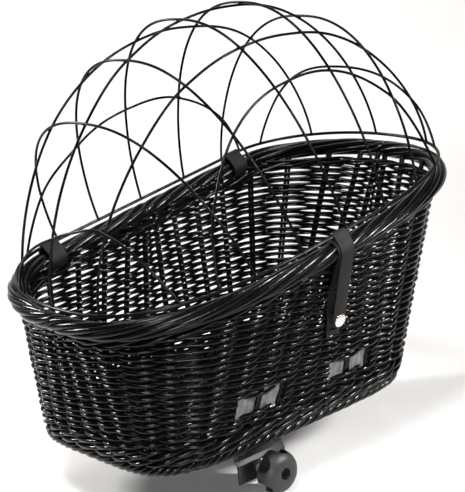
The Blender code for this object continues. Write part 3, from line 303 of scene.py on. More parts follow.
class Look(Nodes):
    """A material in the making, with a noise pattern for each (size of its cells in mm, detail)."""

    def __init__(self, name, *noises):
        self.material = bpy.data.materials.new(name)
        self.material.use_nodes = True
        self.tree = self.material.node_tree
        self.tree.nodes.clear()
        self.where = self.add("ShaderNodeTexCoord", output="Object")
        self.patterns = []
        for size_mm, detail in noises:
            inputs = {"Vector": self.where, "Scale": 1000.0 / size_mm, "Detail": detail, "Roughness": 0.55}
            self.patterns.append(self.add("ShaderNodeTexNoise", inputs, "Fac"))

    def finish(self, inputs, colours=None, roughness=None, relief=()):
        """Colours are a pattern and two (place, colour) stops, roughness is a pattern and its two
        values, and relief is (pattern, depth in mm) pairs, each on top of the last."""
        if colours:
            pattern, *stops = colours
            inputs["Base Color"] = self.add("ShaderNodeValToRGB", {"Fac": pattern})
            for element, (position, value) in zip(inputs["Base Color"].node.color_ramp.elements, stops):
                element.position, element.color = position, rgba(value)
        if roughness:
            pattern, low, high = roughness
            inputs["Roughness"] = self.add("ShaderNodeMapRange",
                                           {"Value": pattern, "To Min": low, "To Max": high})
        for pattern, depth_mm in relief:
            bump = {"Height": pattern, "Strength": 1.0, "Distance": depth_mm / 1000.0}
            if "Normal" in inputs:
                bump["Normal"] = inputs["Normal"]
            inputs["Normal"] = self.add("ShaderNodeBump", bump)
        shader = self.add("ShaderNodeBsdfPrincipled", inputs)
        self.add("ShaderNodeOutputMaterial", {"Surface": shader})
        return self.material


def lacquered_willow():
    """Peeled willow under black lacquer: wood pores show through as small breaks in a hard gloss."""
    look = Look("lacquered_willow", (1.1, 4.0), (28.0, 2.0), (5.0, 2.0))
    grain, patches, knots = look.patterns
    return look.finish({"Specular IOR Level": 0.14, "Coat Weight": 0.1, "Coat Roughness": 0.12},
                       colours=(grain, (0.35, "willow"), (0.75, "willow_light")),
                       roughness=(patches, 0.09, 0.22), relief=[(grain, 0.09), (knots, 0.5)])


def coated_wire():
    """Steel wire dipped in black plastic: an even satin skin with slight pooling."""
    look = Look("coated_wire", (2.5, 2.0))
    skin = look.patterns[0]
    return look.finish({"Specular IOR Level": 0.12}, colours=(skin, (0.3, "wire"), (0.8, "#0a0a0b")),
                       roughness=(skin, 0.18, 0.32), relief=[(skin, 0.05)])


def dark_leather():
    """Cut strap leather, waxed: small round grain cells, lighter on top where it is rubbed."""
    look = Look("dark_leather", (9.0, 4.0), (0.7, 3.0))
    rub, fibre = look.patterns
    cells = look.add("ShaderNodeTexVoronoi", {"Vector": look.where, "Scale": 1000.0 / 0.9}, "Distance",
                     feature="DISTANCE_TO_EDGE")
    return look.finish({"Specular IOR Level": 0.25},
                       colours=(rub, (0.3, "leather"), (0.72, "leather_light")),
                       roughness=(fibre, 0.55, 0.8), relief=[(fibre, 0.08), (cells, 0.12)])


def reflective_cloth():
    """Woven tape with glass-bead yarn: a bright twill over a dark ground, soft and slightly creased."""
    look = Look("reflective_cloth", (14.0, 3.0))
    shade = look.patterns[0]
    # Both waves repeat every 2.9 mm, coarser than the yarns, so that they show.
    warp, weft = (look.add("ShaderNodeTexWave", {"Vector": look.where, "Scale": 110.0, "Distortion": 0.6},
                           "Fac", bands_direction=direction) for direction in "XZ")
    weave = look.add("ShaderNodeMath", {0: warp, 1: weft}, operation="MULTIPLY")
    mixed = look.add("ShaderNodeMath", {0: weave, 1: shade}, operation="ADD")
    return look.finish({"Roughness": 0.6, "Sheen Weight": 0.3},
                       colours=(mixed, (0.35, "cloth_dark"), (0.95, "cloth")),
                       relief=[(shade, 0.8), (weave, 0.15)])


def plated_nickel():
    """Polished nickel plate with the faint haze that handling leaves."""
    look = Look("plated_nickel", (3.0, 3.0))
    haze = look.patterns[0]
    return look.finish({"Base Color": rgba("nickel"), "Metallic": 1.0},
                       roughness=(haze, 0.12, 0.24), relief=[(haze, 0.01)])


def powder_coated_steel():
    """Bent sheet steel under black powder coat: a fine orange peel in a satin skin."""
    look = Look("powder_coated_steel", (0.9, 2.0), (12.0, 4.0))
    peel, wear = look.patterns
    return look.finish({}, colours=(wear, (0.4, "powder"), (0.8, "#1a1a1b")),
                       roughness=(wear, 0.34, 0.5), relief=[(peel, 0.03)])


def bright_zinc():
    """Zinc-plated turned steel: fine tool marks and a slightly cloudy shine."""
    look = Look("bright_zinc", (4.0, 4.0))
    cloud = look.patterns[0]
    # The marks repeat every 6.3 mm, coarser than real ones, so that they show.
    marks = look.add("ShaderNodeTexWave", {"Vector": look.where, "Scale": 50.0, "Distortion": 1.0}, "Fac",
                     bands_direction="Y")
    return look.finish({"Metallic": 1.0}, colours=(cloud, (0.3, "#a5a4a2"), (0.8, "zinc")),
                       roughness=(cloud, 0.24, 0.38), relief=[(marks, 0.01)])


def moulded_nylon():
    """Glass-filled nylon from a spark-eroded mould: fine matt sparkle, lighter where hands rub."""
    look = Look("moulded_nylon", (0.6, 3.0), (16.0, 3.0))
    spark, rub = look.patterns
    return look.finish({}, colours=(rub, (0.35, "nylon"), (0.8, "#232324")),
                       roughness=(spark, 0.4, 0.58), relief=[(spark, 0.05)])


def plain_floor():
    """Pale painted studio floor, matt and almost even."""
    look = Look("plain_floor", (900.0, 2.0))
    return look.finish({"Roughness": 0.85}, colours=(look.patterns[0], (0.3, "floor"), (0.8, "#eae8e6")))


MADE = {}


def once(maker):
    """What a maker of a finish or of geometry nodes makes, made once."""
    if maker.__name__ not in MADE:
        MADE[maker.__name__] = maker()
    return MADE[maker.__name__]


def show(mesh, name, body, replaced=()):
    """A finished piece: its object at the origin, riding on a body."""
    piece = bpy.data.objects.new(name, mesh)
    bpy.context.scene.collection.objects.link(piece)
    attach(piece, body)
    if replaced:
        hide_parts(*replaced)
    return piece


class Growth(Nodes):
    """Geometry nodes in the making, with the sockets and identifiers of their inputs."""

    def __init__(self, name, inputs):
        self.tree = bpy.data.node_groups.new(name, "GeometryNodeTree")
        sockets = self.tree.interface
        self.keys = {label: sockets.new_socket(name=label, in_out="INPUT", socket_type=kind).identifier
                     for label, kind in inputs.items()}
        sockets.new_socket(name="Made", in_out="OUTPUT", socket_type="NodeSocketGeometry")
        self.given = self.add("NodeGroupInput").node.outputs

    def finish(self, geometry):
        real = self.add("GeometryNodeRealizeInstances", {0: geometry})
        smooth = self.add("GeometryNodeSetShadeSmooth", {0: real})
        done = self.add("GeometryNodeSetMaterial", {"Geometry": smooth, "Material": self.given["Finish"]})
        self.add("NodeGroupOutput", {0: done})
        return self


def rod_growth():
    """Geometry nodes that give each line of a curve object the body of an uneven rod."""
    made = Growth("rods_along_lines", {
        "Lines": "NodeSocketGeometry", "Thickness": "NodeSocketFloat", "Sides": "NodeSocketInt",
        "Wobble": "NodeSocketFloat", "Wobble run": "NodeSocketFloat", "Seed": "NodeSocketFloat",
        "Finish": "NodeSocketMaterial"})
    given = made.given
    position = made.add("GeometryNodeInputPosition")
    scale = made.add("ShaderNodeMath", {0: 1.0, 1: given["Wobble run"]}, operation="DIVIDE")
    field = made.add("ShaderNodeTexNoise", {"Vector": position, "Scale": scale, "W": given["Seed"],
                                            "Detail": 1.0}, "Color", noise_dimensions="4D")
    centred = made.add("ShaderNodeVectorMath", {0: field, 1: (0.5, 0.5, 0.5)}, operation="SUBTRACT")
    stray = made.add("ShaderNodeVectorMath", {0: centred, "Scale": given["Wobble"]}, operation="SCALE")
    moved = made.add("GeometryNodeSetPosition", {"Geometry": given["Lines"], "Offset": stray})
    ring = made.add("GeometryNodeCurvePrimitiveCircle",
                    {"Resolution": given["Sides"], "Radius": given["Thickness"]})
    return made.finish(made.add("GeometryNodeCurveToMesh",
                                {"Curve": moved, "Profile Curve": ring, "Fill Caps": True}))


def bead_growth():
    """Geometry nodes that set a small weld bead on each point."""
    made = Growth("beads_on_points", {
        "Points": "NodeSocketGeometry", "Size": "NodeSocketFloat", "Finish": "NodeSocketMaterial"})
    bead = made.add("GeometryNodeMeshIcoSphere", {"Radius": made.given["Size"], "Subdivisions": 2})
    uneven = made.add("FunctionNodeRandomValue", {"Min": 0.8, "Max": 1.15, "Seed": SEED}, 1,
                      data_type="FLOAT")
    return made.finish(made.add("GeometryNodeInstanceOnPoints", {
        "Points": made.given["Points"], "Instance": bead, "Scale": uneven}))


def grow(source, growth, values):
    """Run geometry nodes on an object once and return the plain mesh that they make."""
    bpy.context.scene.collection.objects.link(source)
    modifier = source.modifiers.new("grow", "NODES")
    modifier.node_group = growth.tree
    for name, value in values.items():
        modifier[growth.keys[name]] = value
    bpy.context.view_layer.update()
    graph = bpy.context.evaluated_depsgraph_get()
    mesh = bpy.data.meshes.new_from_object(source.evaluated_get(graph))
    bpy.data.objects.remove(source, do_unlink=True)
    return mesh


def rods(name, lines, thickness, finish, sides=8, wobble=0.0, wobble_run=0.03):
    """One mesh of rods. Each line is (points, relative thickness, closed)."""
    curve = bpy.data.curves.new(name, "CURVE")
    curve.dimensions = "3D"
    for points, share, closed in lines:
        spline = curve.splines.new("POLY")
        spline.points.add(len(points) - 1)
        spline.points.foreach_set("co", np.column_stack([points, np.ones(len(points))]).ravel())
        spline.points.foreach_set("radius", np.broadcast_to(share, len(points)).astype(float).ravel())
        spline.use_cyclic_u = closed
    source = bpy.data.objects.new(name, curve)
    values = {"Thickness": thickness, "Sides": sides, "Wobble": wobble, "Wobble run": wobble_run,
              "Seed": float(SEED), "Finish": finish}
    mesh = grow(source, once(rod_growth), values)
    mesh.name = name
    return mesh


def beads(name, points, size, finish):
    mesh = bpy.data.meshes.new(name)
    mesh.from_pydata([tuple(point) for point in points], [], [])
    source = bpy.data.objects.new(name, mesh)
    return grow(source, once(bead_growth), {"Size": size, "Finish": finish})


def finished(name, bm, finish):
    """A smoothly shaded mesh in one finish."""
    mesh = bpy.data.meshes.new(name)
    bm.to_mesh(mesh)
    bm.free()
    mesh.shade_smooth()
    mesh.materials.append(finish)
    return mesh


def surface(name, lines, finish):
    """A mesh that joins lines with the same number of points."""
    bm = bmesh.new()
    verts = [[bm.verts.new(tuple(point)) for point in line] for line in lines]
    for low, high in zip(verts, verts[1:]):
        for index in range(len(low) - 1):
            bm.faces.new((low[index], low[index + 1], high[index + 1], high[index]))
    return finished(name, bm, finish)


def willow_piece(name, lines, radius, sides, wobble, wobble_run, replaced=()):
    mesh = rods(name, lines, radius, once(lacquered_willow), sides, wobble, wobble_run)
    show(mesh, name, "basket", replaced)


SHORTEST_RUN = 4


def runs_of(shown):
    """Runs of shown places round a ring, as arrays of indices, or None when all of them are shown."""
    if shown.all():
        return None
    start = int(np.argmin(shown))
    order = (np.arange(len(shown)) + start) % len(shown)
    runs = np.split(order, np.flatnonzero(np.diff(shown[order])) + 1)
    return [run for run in runs if shown[run[0]] and len(run) >= SHORTEST_RUN]


ROWS_OF_FOOT_WALES = 4
FOOT_WALE_ROWS = (0.6, 2.6)


def row_levels(tub):
    """Heights of the plain rows, evenly packed below, beside and above the windows."""
    w, s = tub.weave, tub.size
    middle = s.foot_level + w.window_level
    reach = w.window_height / 2 + w.weaver_radius
    start = s.foot_level + 2 * s.foot_radius + ROWS_OF_FOOT_WALES * w.row_pitch
    highest = float(tub.height_below_rim(np.array([0.0]), s.border_drop)[0])
    below = np.linspace(start, middle - reach, 1 + round((middle - reach - start) / w.row_pitch))
    beside = np.linspace(middle - reach, middle + reach, 2 + round(2 * reach / w.row_pitch))[1:-1]
    above = np.arange(middle + reach, highest, w.row_pitch)
    return np.concatenate([below, beside, above]), set(range(len(below), len(below) + len(beside)))


WINDOW_REACH = 0.9
ROW_DRIFT = (0.0007, 3)
ROW_RIPPLE = (0.0004, 11)
SWING_CHANGE = (0.10, 7)
MEAN_ROD = 0.92
ROD_TAPER = (0.10, 2)
ROD_SWELL = (0.06, 5)


def weave_rows(tub):
    """Plain randing: each row passes outside one stake and inside the next, and its neighbours do the
    opposite."""
    w, s = tub.weave, tub.size
    chance = np.random.default_rng(SEED)
    turns = tub.turns(w.steps)
    top = tub.height_below_rim(turns, s.border_drop)
    windows = np.array(list(tub.window_turns().values()))
    beside_window = np.abs(turns[:, None] - windows[None, :]).min(axis=1) < WINDOW_REACH
    lines = []
    levels, window_rows = row_levels(tub)
    for row, level in enumerate(levels):
        first, second = chance.uniform(0, 2 * math.pi, 2)
        height = level + (tub.vary(turns, ROW_DRIFT, first) + tub.vary(turns, ROW_RIPPLE, second))
        swing = w.weaver_swing * np.cos(math.pi * (turns + row))
        swing = swing * (1 + tub.vary(turns, SWING_CHANGE, second))
        points = tub.wall(turns, height, swing - s.wall_thickness / 2)
        share = MEAN_ROD + tub.vary(turns, ROD_TAPER, first) + tub.vary(turns, ROD_SWELL, second)
        shown = height < top
        if row in window_rows:
            shown = shown & ~beside_window
        runs = runs_of(shown)
        if runs is None:
            lines.append((points, share, True))
            continue
        for run in runs:
            lines.append((points[run], share[run], False))
    return lines


WALE_RODS = 3
WALE_SWING = 1.1


def wale(tub, turns, middle):
    """A band of three rods that pass round each other and the stakes."""
    w, s = tub.weave, tub.size
    rounds = round(tub.count / WALE_RODS)
    lines = []
    for rod in range(WALE_RODS):
        turn = 2 * math.pi * (turns * rounds / tub.count - rod / WALE_RODS)
        out = w.weaver_swing * WALE_SWING * np.cos(turn) - s.wall_thickness / 2
        height = middle + w.wale_rise * np.sin(turn)
        lines.append((tub.wall(turns, height, out), 1.0, True))
    return lines


STAKE_POINTS = 14
STAKE_TAPER = (1.1, 0.85)


def stake_lines(tub):
    """Paired stakes from the foot to the border."""
    w, s = tub.weave, tub.size
    lines = []
    low = s.foot_level + s.foot_radius
    for stake in range(tub.count):
        centre = np.full(STAKE_POINTS, float(stake))
        top = float(tub.height_below_rim(centre[:1], s.border_drop)[0])
        heights = np.linspace(low, top, STAKE_POINTS)
        middle = tub.wall(centre, heights, -s.wall_thickness / 2)
        outward = tub.outward(centre, heights)
        aside = np.stack([-outward[:, 1], outward[:, 0], np.zeros(STAKE_POINTS)], axis=1)
        share = np.linspace(*STAKE_TAPER, STAKE_POINTS)
        for side in (-1, 1):
            lines.append((middle + aside * side * w.pair_gap, share, False))
    return lines


class BASKET_OT_weave_wall(bpy.types.Operator):
    """Weave the wall: paired stakes, plain rows that stop at the windows, and wales."""
    bl_idname = "basket.weave_wall"
    bl_label = "Weave Wall"

    def execute(self, context):
        tub = Tub()
        w, s = tub.weave, tub.size
        rows = weave_rows(tub)
        half = len(rows) // 2
        for name, lines in (("rows_below", rows[:half]), ("rows_above", rows[half:])):
            willow_piece(name, lines, w.weaver_radius, sides=7, wobble=w.wobble, wobble_run=0.02,
                         replaced=["basket_wall"])
        willow_piece("wall_stakes", stake_lines(tub), w.stake_radius, sides=8, wobble=w.wobble,
                     wobble_run=0.04)
        turns = tub.turns(w.steps)
        foot_top = s.foot_level + 2 * s.foot_radius
        levels = [foot_top + rows_up * w.row_pitch for rows_up in FOOT_WALE_ROWS]
        levels.append(tub.height_below_rim(turns, s.border_drop + s.border_radius + w.row_pitch))
        lines = [line for level in levels for line in wale(tub, turns, level)]
        willow_piece("wale_bands", lines, w.wale_radius, sides=8, wobble=w.wobble * 0.7, wobble_run=0.03)
        return {"FINISHED"}


STRAND_SLACK = (0.04, 9)
STRAND_SWELL = (0.08, 5)


def strand_lines(tub, turns, centre, normal, upward, count, reach, turns_made):
    """Rods laid side by side round a centre line and twisted along it."""
    lines = []
    chance = np.random.default_rng(SEED + count)
    for strand in range(count):
        phase = chance.uniform(0, 2 * math.pi)
        turn = 2 * math.pi * (strand / count + turns_made * turns / tub.count)
        radius = reach * (1 + tub.vary(turns, STRAND_SLACK, phase))
        offset = normal * (radius * np.cos(turn))[:, None] + upward * (radius * np.sin(turn))[:, None]
        lines.append((centre + offset, 1.0 + tub.vary(turns, STRAND_SWELL, phase), True))
    return lines


class BASKET_OT_roll_border(bpy.types.Operator):
    """Roll the thick border of long rods round the rim."""
    bl_idname = "basket.roll_border"
    bl_label = "Roll Border"

    def execute(self, context):
        tub = Tub()
        w, s = tub.weave, tub.size
        turns = tub.turns(w.steps)
        height = tub.height_below_rim(turns, s.border_drop)
        centre = tub.wall(turns, height, s.border_overhang)
        normal = tub.outward(turns, height)
        reach = s.border_radius - w.border_rod_radius
        lines = strand_lines(tub, turns, centre, normal, tub.up, w.border_rods, reach, w.border_turns)
        lines.append((centre, reach / w.border_rod_radius, True))
        willow_piece("rolled_border", lines, w.border_rod_radius, sides=10, wobble=w.wobble,
                     wobble_run=0.05, replaced=["top_border"])
        return {"FINISHED"}


class BASKET_OT_twist_foot(bpy.types.Operator):
    """Twist the foot border round the base."""
    bl_idname = "basket.twist_foot"
    bl_label = "Twist Foot"

    def execute(self, context):
        tub = Tub()
        w, s = tub.weave, tub.size
        turns = tub.turns(2 * w.steps)
        height = np.full(len(turns), s.foot_level)
        centre = tub.wall(turns, height, -s.foot_inset)
        centre[:, 2] += s.foot_radius
        normal = tub.outward(turns, height)
        upward = np.array([0.0, 0.0, 1.0])
        reach = s.foot_radius - w.foot_rod_radius
        lines = strand_lines(tub, turns, centre, normal, upward, w.foot_rods, reach, w.foot_turns)
        willow_piece("twisted_foot", lines, w.foot_rod_radius, sides=8, wobble=w.wobble / 2,
                     wobble_run=0.05, replaced=["foot_border"])
        return {"FINISHED"}


RIBS_EACH_SIDE = 3
RIB_POINTS = 24
BASE_ROW_POINTS = 60
BASE_ROW_PITCH = 0.85
BASE_ROW_SWING = 0.9


class BASKET_OT_weave_base(bpy.types.Operator):
    """Weave the flat base over ribs that run along the basket."""
    bl_idname = "basket.weave_base"
    bl_label = "Weave Base"

    def execute(self, context):
        tub = Tub()
        w, s = tub.weave, tub.size
        low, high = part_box("basket_base")
        level = (low[2] + high[2]) / 2
        half_x, half_y = (high[0] - low[0]) / 2, (high[1] - low[1]) / 2
        middle_x = (low[0] + high[0]) / 2
        ribs = np.arange(-RIBS_EACH_SIDE, RIBS_EACH_SIDE + 1) * w.rib_spacing
        radius = (high[2] - low[2]) / 4

        def reach_at(share, half):
            return half * (1 - abs(share) ** s.base_power) ** (1 / s.base_power)

        lines = []
        for rib in ribs:
            reach = reach_at(rib / half_y, half_x)
            for side in (-1, 1):
                y = rib + side * radius
                x = np.linspace(middle_x - reach, middle_x + reach, RIB_POINTS)
                lines.append((np.column_stack([x, np.full_like(x, y), np.full_like(x, level)]), 1.0, False))
        pitch = w.row_pitch * BASE_ROW_PITCH
        for row, x in enumerate(np.arange(middle_x - half_x + radius, middle_x + half_x, pitch)):
            reach = reach_at((x - middle_x) / half_x, half_y)
            y = np.linspace(-reach, reach, BASE_ROW_POINTS)
            z = level + radius * BASE_ROW_SWING * np.cos(math.pi * (y / w.rib_spacing + row))
            lines.append((np.column_stack([np.full_like(y, x), y, z]), 1.0, False))
        willow_piece("woven_base", lines, radius, sides=8, wobble=w.wobble / 2, wobble_run=0.02,
                     replaced=["basket_base"])
        return {"FINISHED"}


CLOTH_COLUMNS = 41
CLOTH_ROWS = 17
CLOTH_REACH = 1.04
CLOTH_INSET = 0.001
CLOTH_DEPTH = 0.62
# Each crease wave: its depth, and how fast it goes round and up.
CREASES = ((0.0006, 9.0, 260.0), (0.0004, 23.0, 0.0))


class BASKET_OT_hang_cloth(bpy.types.Operator):
    """Put reflective cloth behind each window."""
    bl_idname = "basket.hang_cloth"
    bl_label = "Hang Cloth"

    def execute(self, context):
        tub = Tub()
        s = tub.size
        for name, turn in tub.window_turns().items():
            node = f"reflective_band_{name}"
            low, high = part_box(node)
            turns = np.linspace(turn - CLOTH_REACH, turn + CLOTH_REACH, CLOTH_COLUMNS)
            grid = []
            for height in np.linspace(low[2] + CLOTH_INSET, high[2] - CLOTH_INSET, CLOTH_ROWS):
                depth = sum(deep * np.sin(turns * along + height * up) for deep, along, up in CREASES)
                grid.append(tub.wall(turns, height, depth - s.wall_thickness * CLOTH_DEPTH))
            mesh = surface(f"cloth_{name}", grid, once(reflective_cloth))
            piece = show(mesh, f"cloth_{name}", "basket", [node])
        return {"FINISHED"}


FAR_SHARES = (-0.950, -0.511, -0.276, -0.018, 0.252, 0.499, 0.727)
NEAR_SHARES = (-0.763, -0.455, -0.212, 0.036, 0.279, 0.518, 0.920)
CROSS_RISES = (0.105, 0.193, 0.244, 0.265, 0.254, 0.205, 0.105)
CROSS_LEANS = (-0.14, -0.264, -0.175, -0.093, 0.022, 0.170, 0.14)
OUTER_LOW_SHARES = (-0.705, -0.616)
OUTER_HIGH_SHARES = (0.618, 0.736)
INNER_LOW_SHARES = (0.405, 0.010, -0.407)
INNER_HIGH_SHARES = (0.644, 0.106, -0.435)
INNER_RISES = (0.235, 0.259, 0.238)
INNER_LEANS = (-0.054, -0.043, -0.069)
ARCH_POINTS = 161


class Hood:
    """The hood's arches as lines of (along, across, up) in the rim's frame."""

    def __init__(self, tub):
        self.tub, self.size, self.welds = tub, sizes("hood_sizes"), []
        self.length, self.width = tub.size.rim_half_length, tub.size.rim_half_width
        self.straight, self.power = tub.size.rim_straight_half, tub.size.rim_power

    def near(self, along):
        share = 1.0 - (abs(along) / self.length) ** self.power
        return -self.width * share ** (1 / self.power)

    def far(self, along):
        past = max(abs(along) - self.straight, 0.0) / (self.length - self.straight)
        return self.width * math.sqrt(1.0 - past * past)

    def end(self, across):
        share = abs(across) / self.width
        if across <= 0:
            return self.length * (1.0 - share ** self.power) ** (1 / self.power)
        return self.straight + (self.length - self.straight) * math.sqrt(1.0 - share * share)

    def arch(self, start, end, rise, lean, power):
        start, end = np.array(start), np.array(end)
        run = end - start
        side = np.array([-run[1], run[0]]) / np.linalg.norm(run)
        turn = np.linspace(0.0, math.pi, ARCH_POINTS)
        swing = np.cos(turn)
        share = (1 - np.sign(swing) * np.abs(swing) ** (2 / self.size.run_power)) / 2
        up = rise * np.maximum(np.sin(turn), 0.0) ** (2 / power)
        return np.column_stack([start + np.outer(share, run) + np.outer(up * lean, side), up])

    def crossing(self, first, second):
        """Where two arches cross, seen from above the rim."""
        steps_a, steps_b = np.diff(first[:, :2], axis=0)[:, None], np.diff(second[:, :2], axis=0)[None]
        offset = second[None, :-1, :2] - first[:-1, None, :2]
        area = steps_a[..., 0] * steps_b[..., 1] - steps_a[..., 1] * steps_b[..., 0]
        area = np.where(area == 0.0, np.inf, area)
        here = (offset[..., 0] * steps_b[..., 1] - offset[..., 1] * steps_b[..., 0]) / area
        there = (offset[..., 0] * steps_a[..., 1] - offset[..., 1] * steps_a[..., 0]) / area
        hits = np.argwhere((here >= 0) & (here < 1) & (there >= 0) & (there < 1))
        if len(hits) == 0:
            return None
        row, column = hits[0]
        return row + here[row, column], column + there[row, column]

    @staticmethod
    def step(curve, position):
        return curve[int(position) + 1] - curve[int(position)]

    def spot(self, curve, position):
        return curve[int(position)] + self.step(curve, position) * (position - int(position))

    def tie(self, curve, others, layer):
        """Draw an arch against the ones that it passes, and note the welds."""
        ties = [(0.0, np.zeros(3)), (float(len(curve) - 1), np.zeros(3))]
        for cross in others:
            found = self.crossing(curve, cross)
            if found is None:
                continue
            here, there = found
            normal = np.cross(self.step(curve, here), self.step(cross, there))
            normal *= math.copysign(1.0, normal[2]) / np.linalg.norm(normal)
            step = 2 * self.size.arch_wire_radius
            met = self.spot(cross, there)
            self.welds.append(met + normal * layer * step / 2)
            ties.append((here, met + normal * layer * step - self.spot(curve, here)))
        ties.sort(key=lambda tie: tie[0])
        tied = curve.copy()
        for (low, first), (high, last) in zip(ties, ties[1:]):
            for index in range(math.ceil(low), math.floor(high) + 1):
                share = (index - low) / (high - low)
                tied[index] = curve[index] + first + (last - first) * share * share * (3 - 2 * share)
        return tied

    def arches(self):
        size, half = self.size, self.length
        crosses = []
        powers = [size.end_power] + [size.rise_power] * (len(FAR_SHARES) - 2) + [size.end_power]
        for far, near, *shape in zip(FAR_SHARES, NEAR_SHARES, CROSS_RISES, CROSS_LEANS, powers):
            start, end = (far * half, self.far(far * half)), (near * half, self.near(near * half))
            crosses.append(self.arch(start, end, *shape))
        outer = []
        for side, low, high, lean in zip((self.far, self.near), OUTER_LOW_SHARES, OUTER_HIGH_SHARES,
                                         (-size.outer_lean, size.outer_lean)):
            ends = [(share * half, side(share * half)) for share in (low, high)]
            outer.append(self.arch(*ends, size.outer_rise, lean, size.end_power))
        inner = []
        for low, high, rise, lean in zip(INNER_LOW_SHARES, INNER_HIGH_SHARES, INNER_RISES, INNER_LEANS):
            low_y, high_y = low * self.width, high * self.width
            inner.append(self.arch((-self.end(low_y), low_y), (self.end(high_y), high_y), rise, lean,
                                   size.rise_power))
        low_end, *middle, high_end = crosses
        longs = [self.tie(curve, middle, -1) for curve in (outer[0], *inner, outer[1])]
        ends = [self.tie(curve, longs[1:-1], 1) for curve in (low_end, high_end)]
        crosses = [ends[0], *middle, ends[1]]
        return crosses, longs

    def world(self, curve):
        return self.tub.middle + curve @ np.array([self.tub.along, ACROSS, self.tub.up])


RIM_STEPS = 6


class BASKET_OT_bend_hood(bpy.types.Operator):
    """Bend the hood's wires and weld them where they cross."""
    bl_idname = "basket.bend_hood"
    bl_label = "Bend Hood"

    def execute(self, context):
        tub = Tub()
        hood = Hood(tub)
        size = hood.size
        finish = once(coated_wire)
        crosses, longs = hood.arches()
        feet = []
        for kind, curves in (("cross", crosses), ("long", longs)):
            for index, curve in enumerate(curves, start=1):
                line = hood.world(curve)
                feet += [line[0], line[-1]]
                name = f"{kind}_wire_{index}"
                mesh = rods(name, [(line, 1.0, False)], size.arch_wire_radius, finish, sides=10,
                            wobble=0.0008, wobble_run=0.06)
                show(mesh, name, "hood", [f"hood_{kind}_arch_{index}"])
        rim = tub.rim(tub.angle(tub.turns(RIM_STEPS)))
        mesh = rods("rim_wire", [(rim, 1.0, True)], size.rim_wire_radius, finish, sides=12)
        show(mesh, "rim_wire", "hood", ["hood_rim_wire"])
        points = list(hood.world(np.array(hood.welds))) + feet
        show(beads("wire_welds", points, size.weld_radius, finish), "wire_welds", "hood")
        return {"FINISHED"}


THIN_EDGE = 0.0003
THICK_EDGE = 0.0005
MOULDED_EDGE = 0.0010
MERGED = 0.00002
FLAT = math.radians(0.5)
SHARP = math.radians(50)


def smoothed_copy(node, name, finish, body, edge, segments=3, angle=35.0):
    """A copy of a node's solid with its edges over an angle rounded, in its place."""
    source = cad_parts[node]
    bm = bmesh.new()
    bm.from_mesh(source.data)
    bm.transform(source.matrix_world)
    bmesh.ops.remove_doubles(bm, verts=bm.verts, dist=MERGED)
    bmesh.ops.dissolve_limit(bm, angle_limit=FLAT, verts=bm.verts, edges=bm.edges)
    sharp = [e for e in bm.edges if len(e.link_faces) == 2 and e.calc_face_angle(0.0) > math.radians(angle)]
    bmesh.ops.bevel(bm, geom=sharp, offset=edge, segments=segments, profile=0.5, affect="EDGES",
                    clamp_overlap=True)
    bmesh.ops.triangulate(bm, faces=[face for face in bm.faces if len(face.verts) > 4])
    mesh = finished(name, bm, finish)
    mesh.set_sharp_from_angle(angle=SHARP)
    show(mesh, name, body, [node])


class BASKET_OT_cut_leather(bpy.types.Operator):
    """Cut the leather: two hinge loops, the tab and the strap with its press stud."""
    bl_idname = "basket.cut_leather"
    bl_label = "Cut Leather"

    def execute(self, context):
        leather, nickel = once(dark_leather), once(plated_nickel)
        for name in ("hinge_loop_low", "hinge_loop_high", "strap_tab"):
            smoothed_copy(name, f"leather_{name}", leather, "basket", THIN_EDGE, segments=2)
        smoothed_copy("front_strap", "leather_strap", leather, "strap", THICK_EDGE, segments=2)
        smoothed_copy("snap_cap", "stud_cap", nickel, "strap", THICK_EDGE, angle=20.0)
        smoothed_copy("snap_stud", "stud_post", nickel, "basket", THICK_EDGE, segments=2)
        return {"FINISHED"}


class BASKET_OT_fit_clamp(bpy.types.Operator):
    """Finish the clamp: sheet steel, rod, nuts, bolts and the five-lobed knob."""
    bl_idname = "basket.fit_clamp"
    bl_label = "Fit Clamp"

    def execute(self, context):
        steel, zinc = once(powder_coated_steel), once(bright_zinc)
        for name in ("clamp_plate", "guide_rail_low", "guide_rail_high", "fixed_hook", "base_strip_near",
                     "base_strip_far"):
            smoothed_copy(name, f"steel_{name}", steel, "basket", THICK_EDGE)
        smoothed_copy("sliding_jaw", "steel_sliding_jaw", steel, "jaw", THICK_EDGE)
        smoothed_copy("star_knob", "moulded_knob", once(moulded_nylon), "knob",
                      MOULDED_EDGE, angle=40.0)
        for name in ("clamp_washer", "clamp_collar"):
            smoothed_copy(name, f"zinc_{name}", zinc, "jaw", THIN_EDGE)
        fixed = ["clamp_rod", "rod_nut_inner", "rod_nut_outer"]
        fixed += [f"base_{kind}_{index}" for kind in ("bolt", "nut") for index in range(1, 5)]
        for name in fixed:
            smoothed_copy(name, f"zinc_{name}", zinc, "basket", THIN_EDGE)
        return {"FINISHED"}


def area_light(name, spot, target, size, power, angle):
    data = bpy.data.lights.new(name, "AREA")
    data.shape = "RECTANGLE"
    data.size, data.size_y = size
    data.energy = power
    data.spread = math.radians(angle)
    light = bpy.data.objects.new(name, data)
    light.location = spot
    light.rotation_euler = (Vector(target) - Vector(spot)).to_track_quat("-Z", "Y").to_euler()
    bpy.context.scene.collection.objects.link(light)


CAMERA_SPOT = (-1.2206, -1.4395, 0.7880)
CAMERA_RIGHT = (0.7430, -0.6619, -0.0987)
CAMERA_UP = (0.2488, 0.1362, 0.9589)
CAMERA_BACK = (-0.6213, -0.7371, 0.2659)
FOCAL_PIXELS = 1524.0
PHOTO_WIDTH = 465
SENSOR_WIDTH = 36.0
SWEEP_START = -16.0
SWEEP_TOP = 14.0
SWEEP_HALF_WIDTH = 16.0
SWEEP_DISTANCE = 3.2
SWEEP_BEND = 1.6
SWEEP_POINTS = 16
WORLD_STRENGTH = 0.03
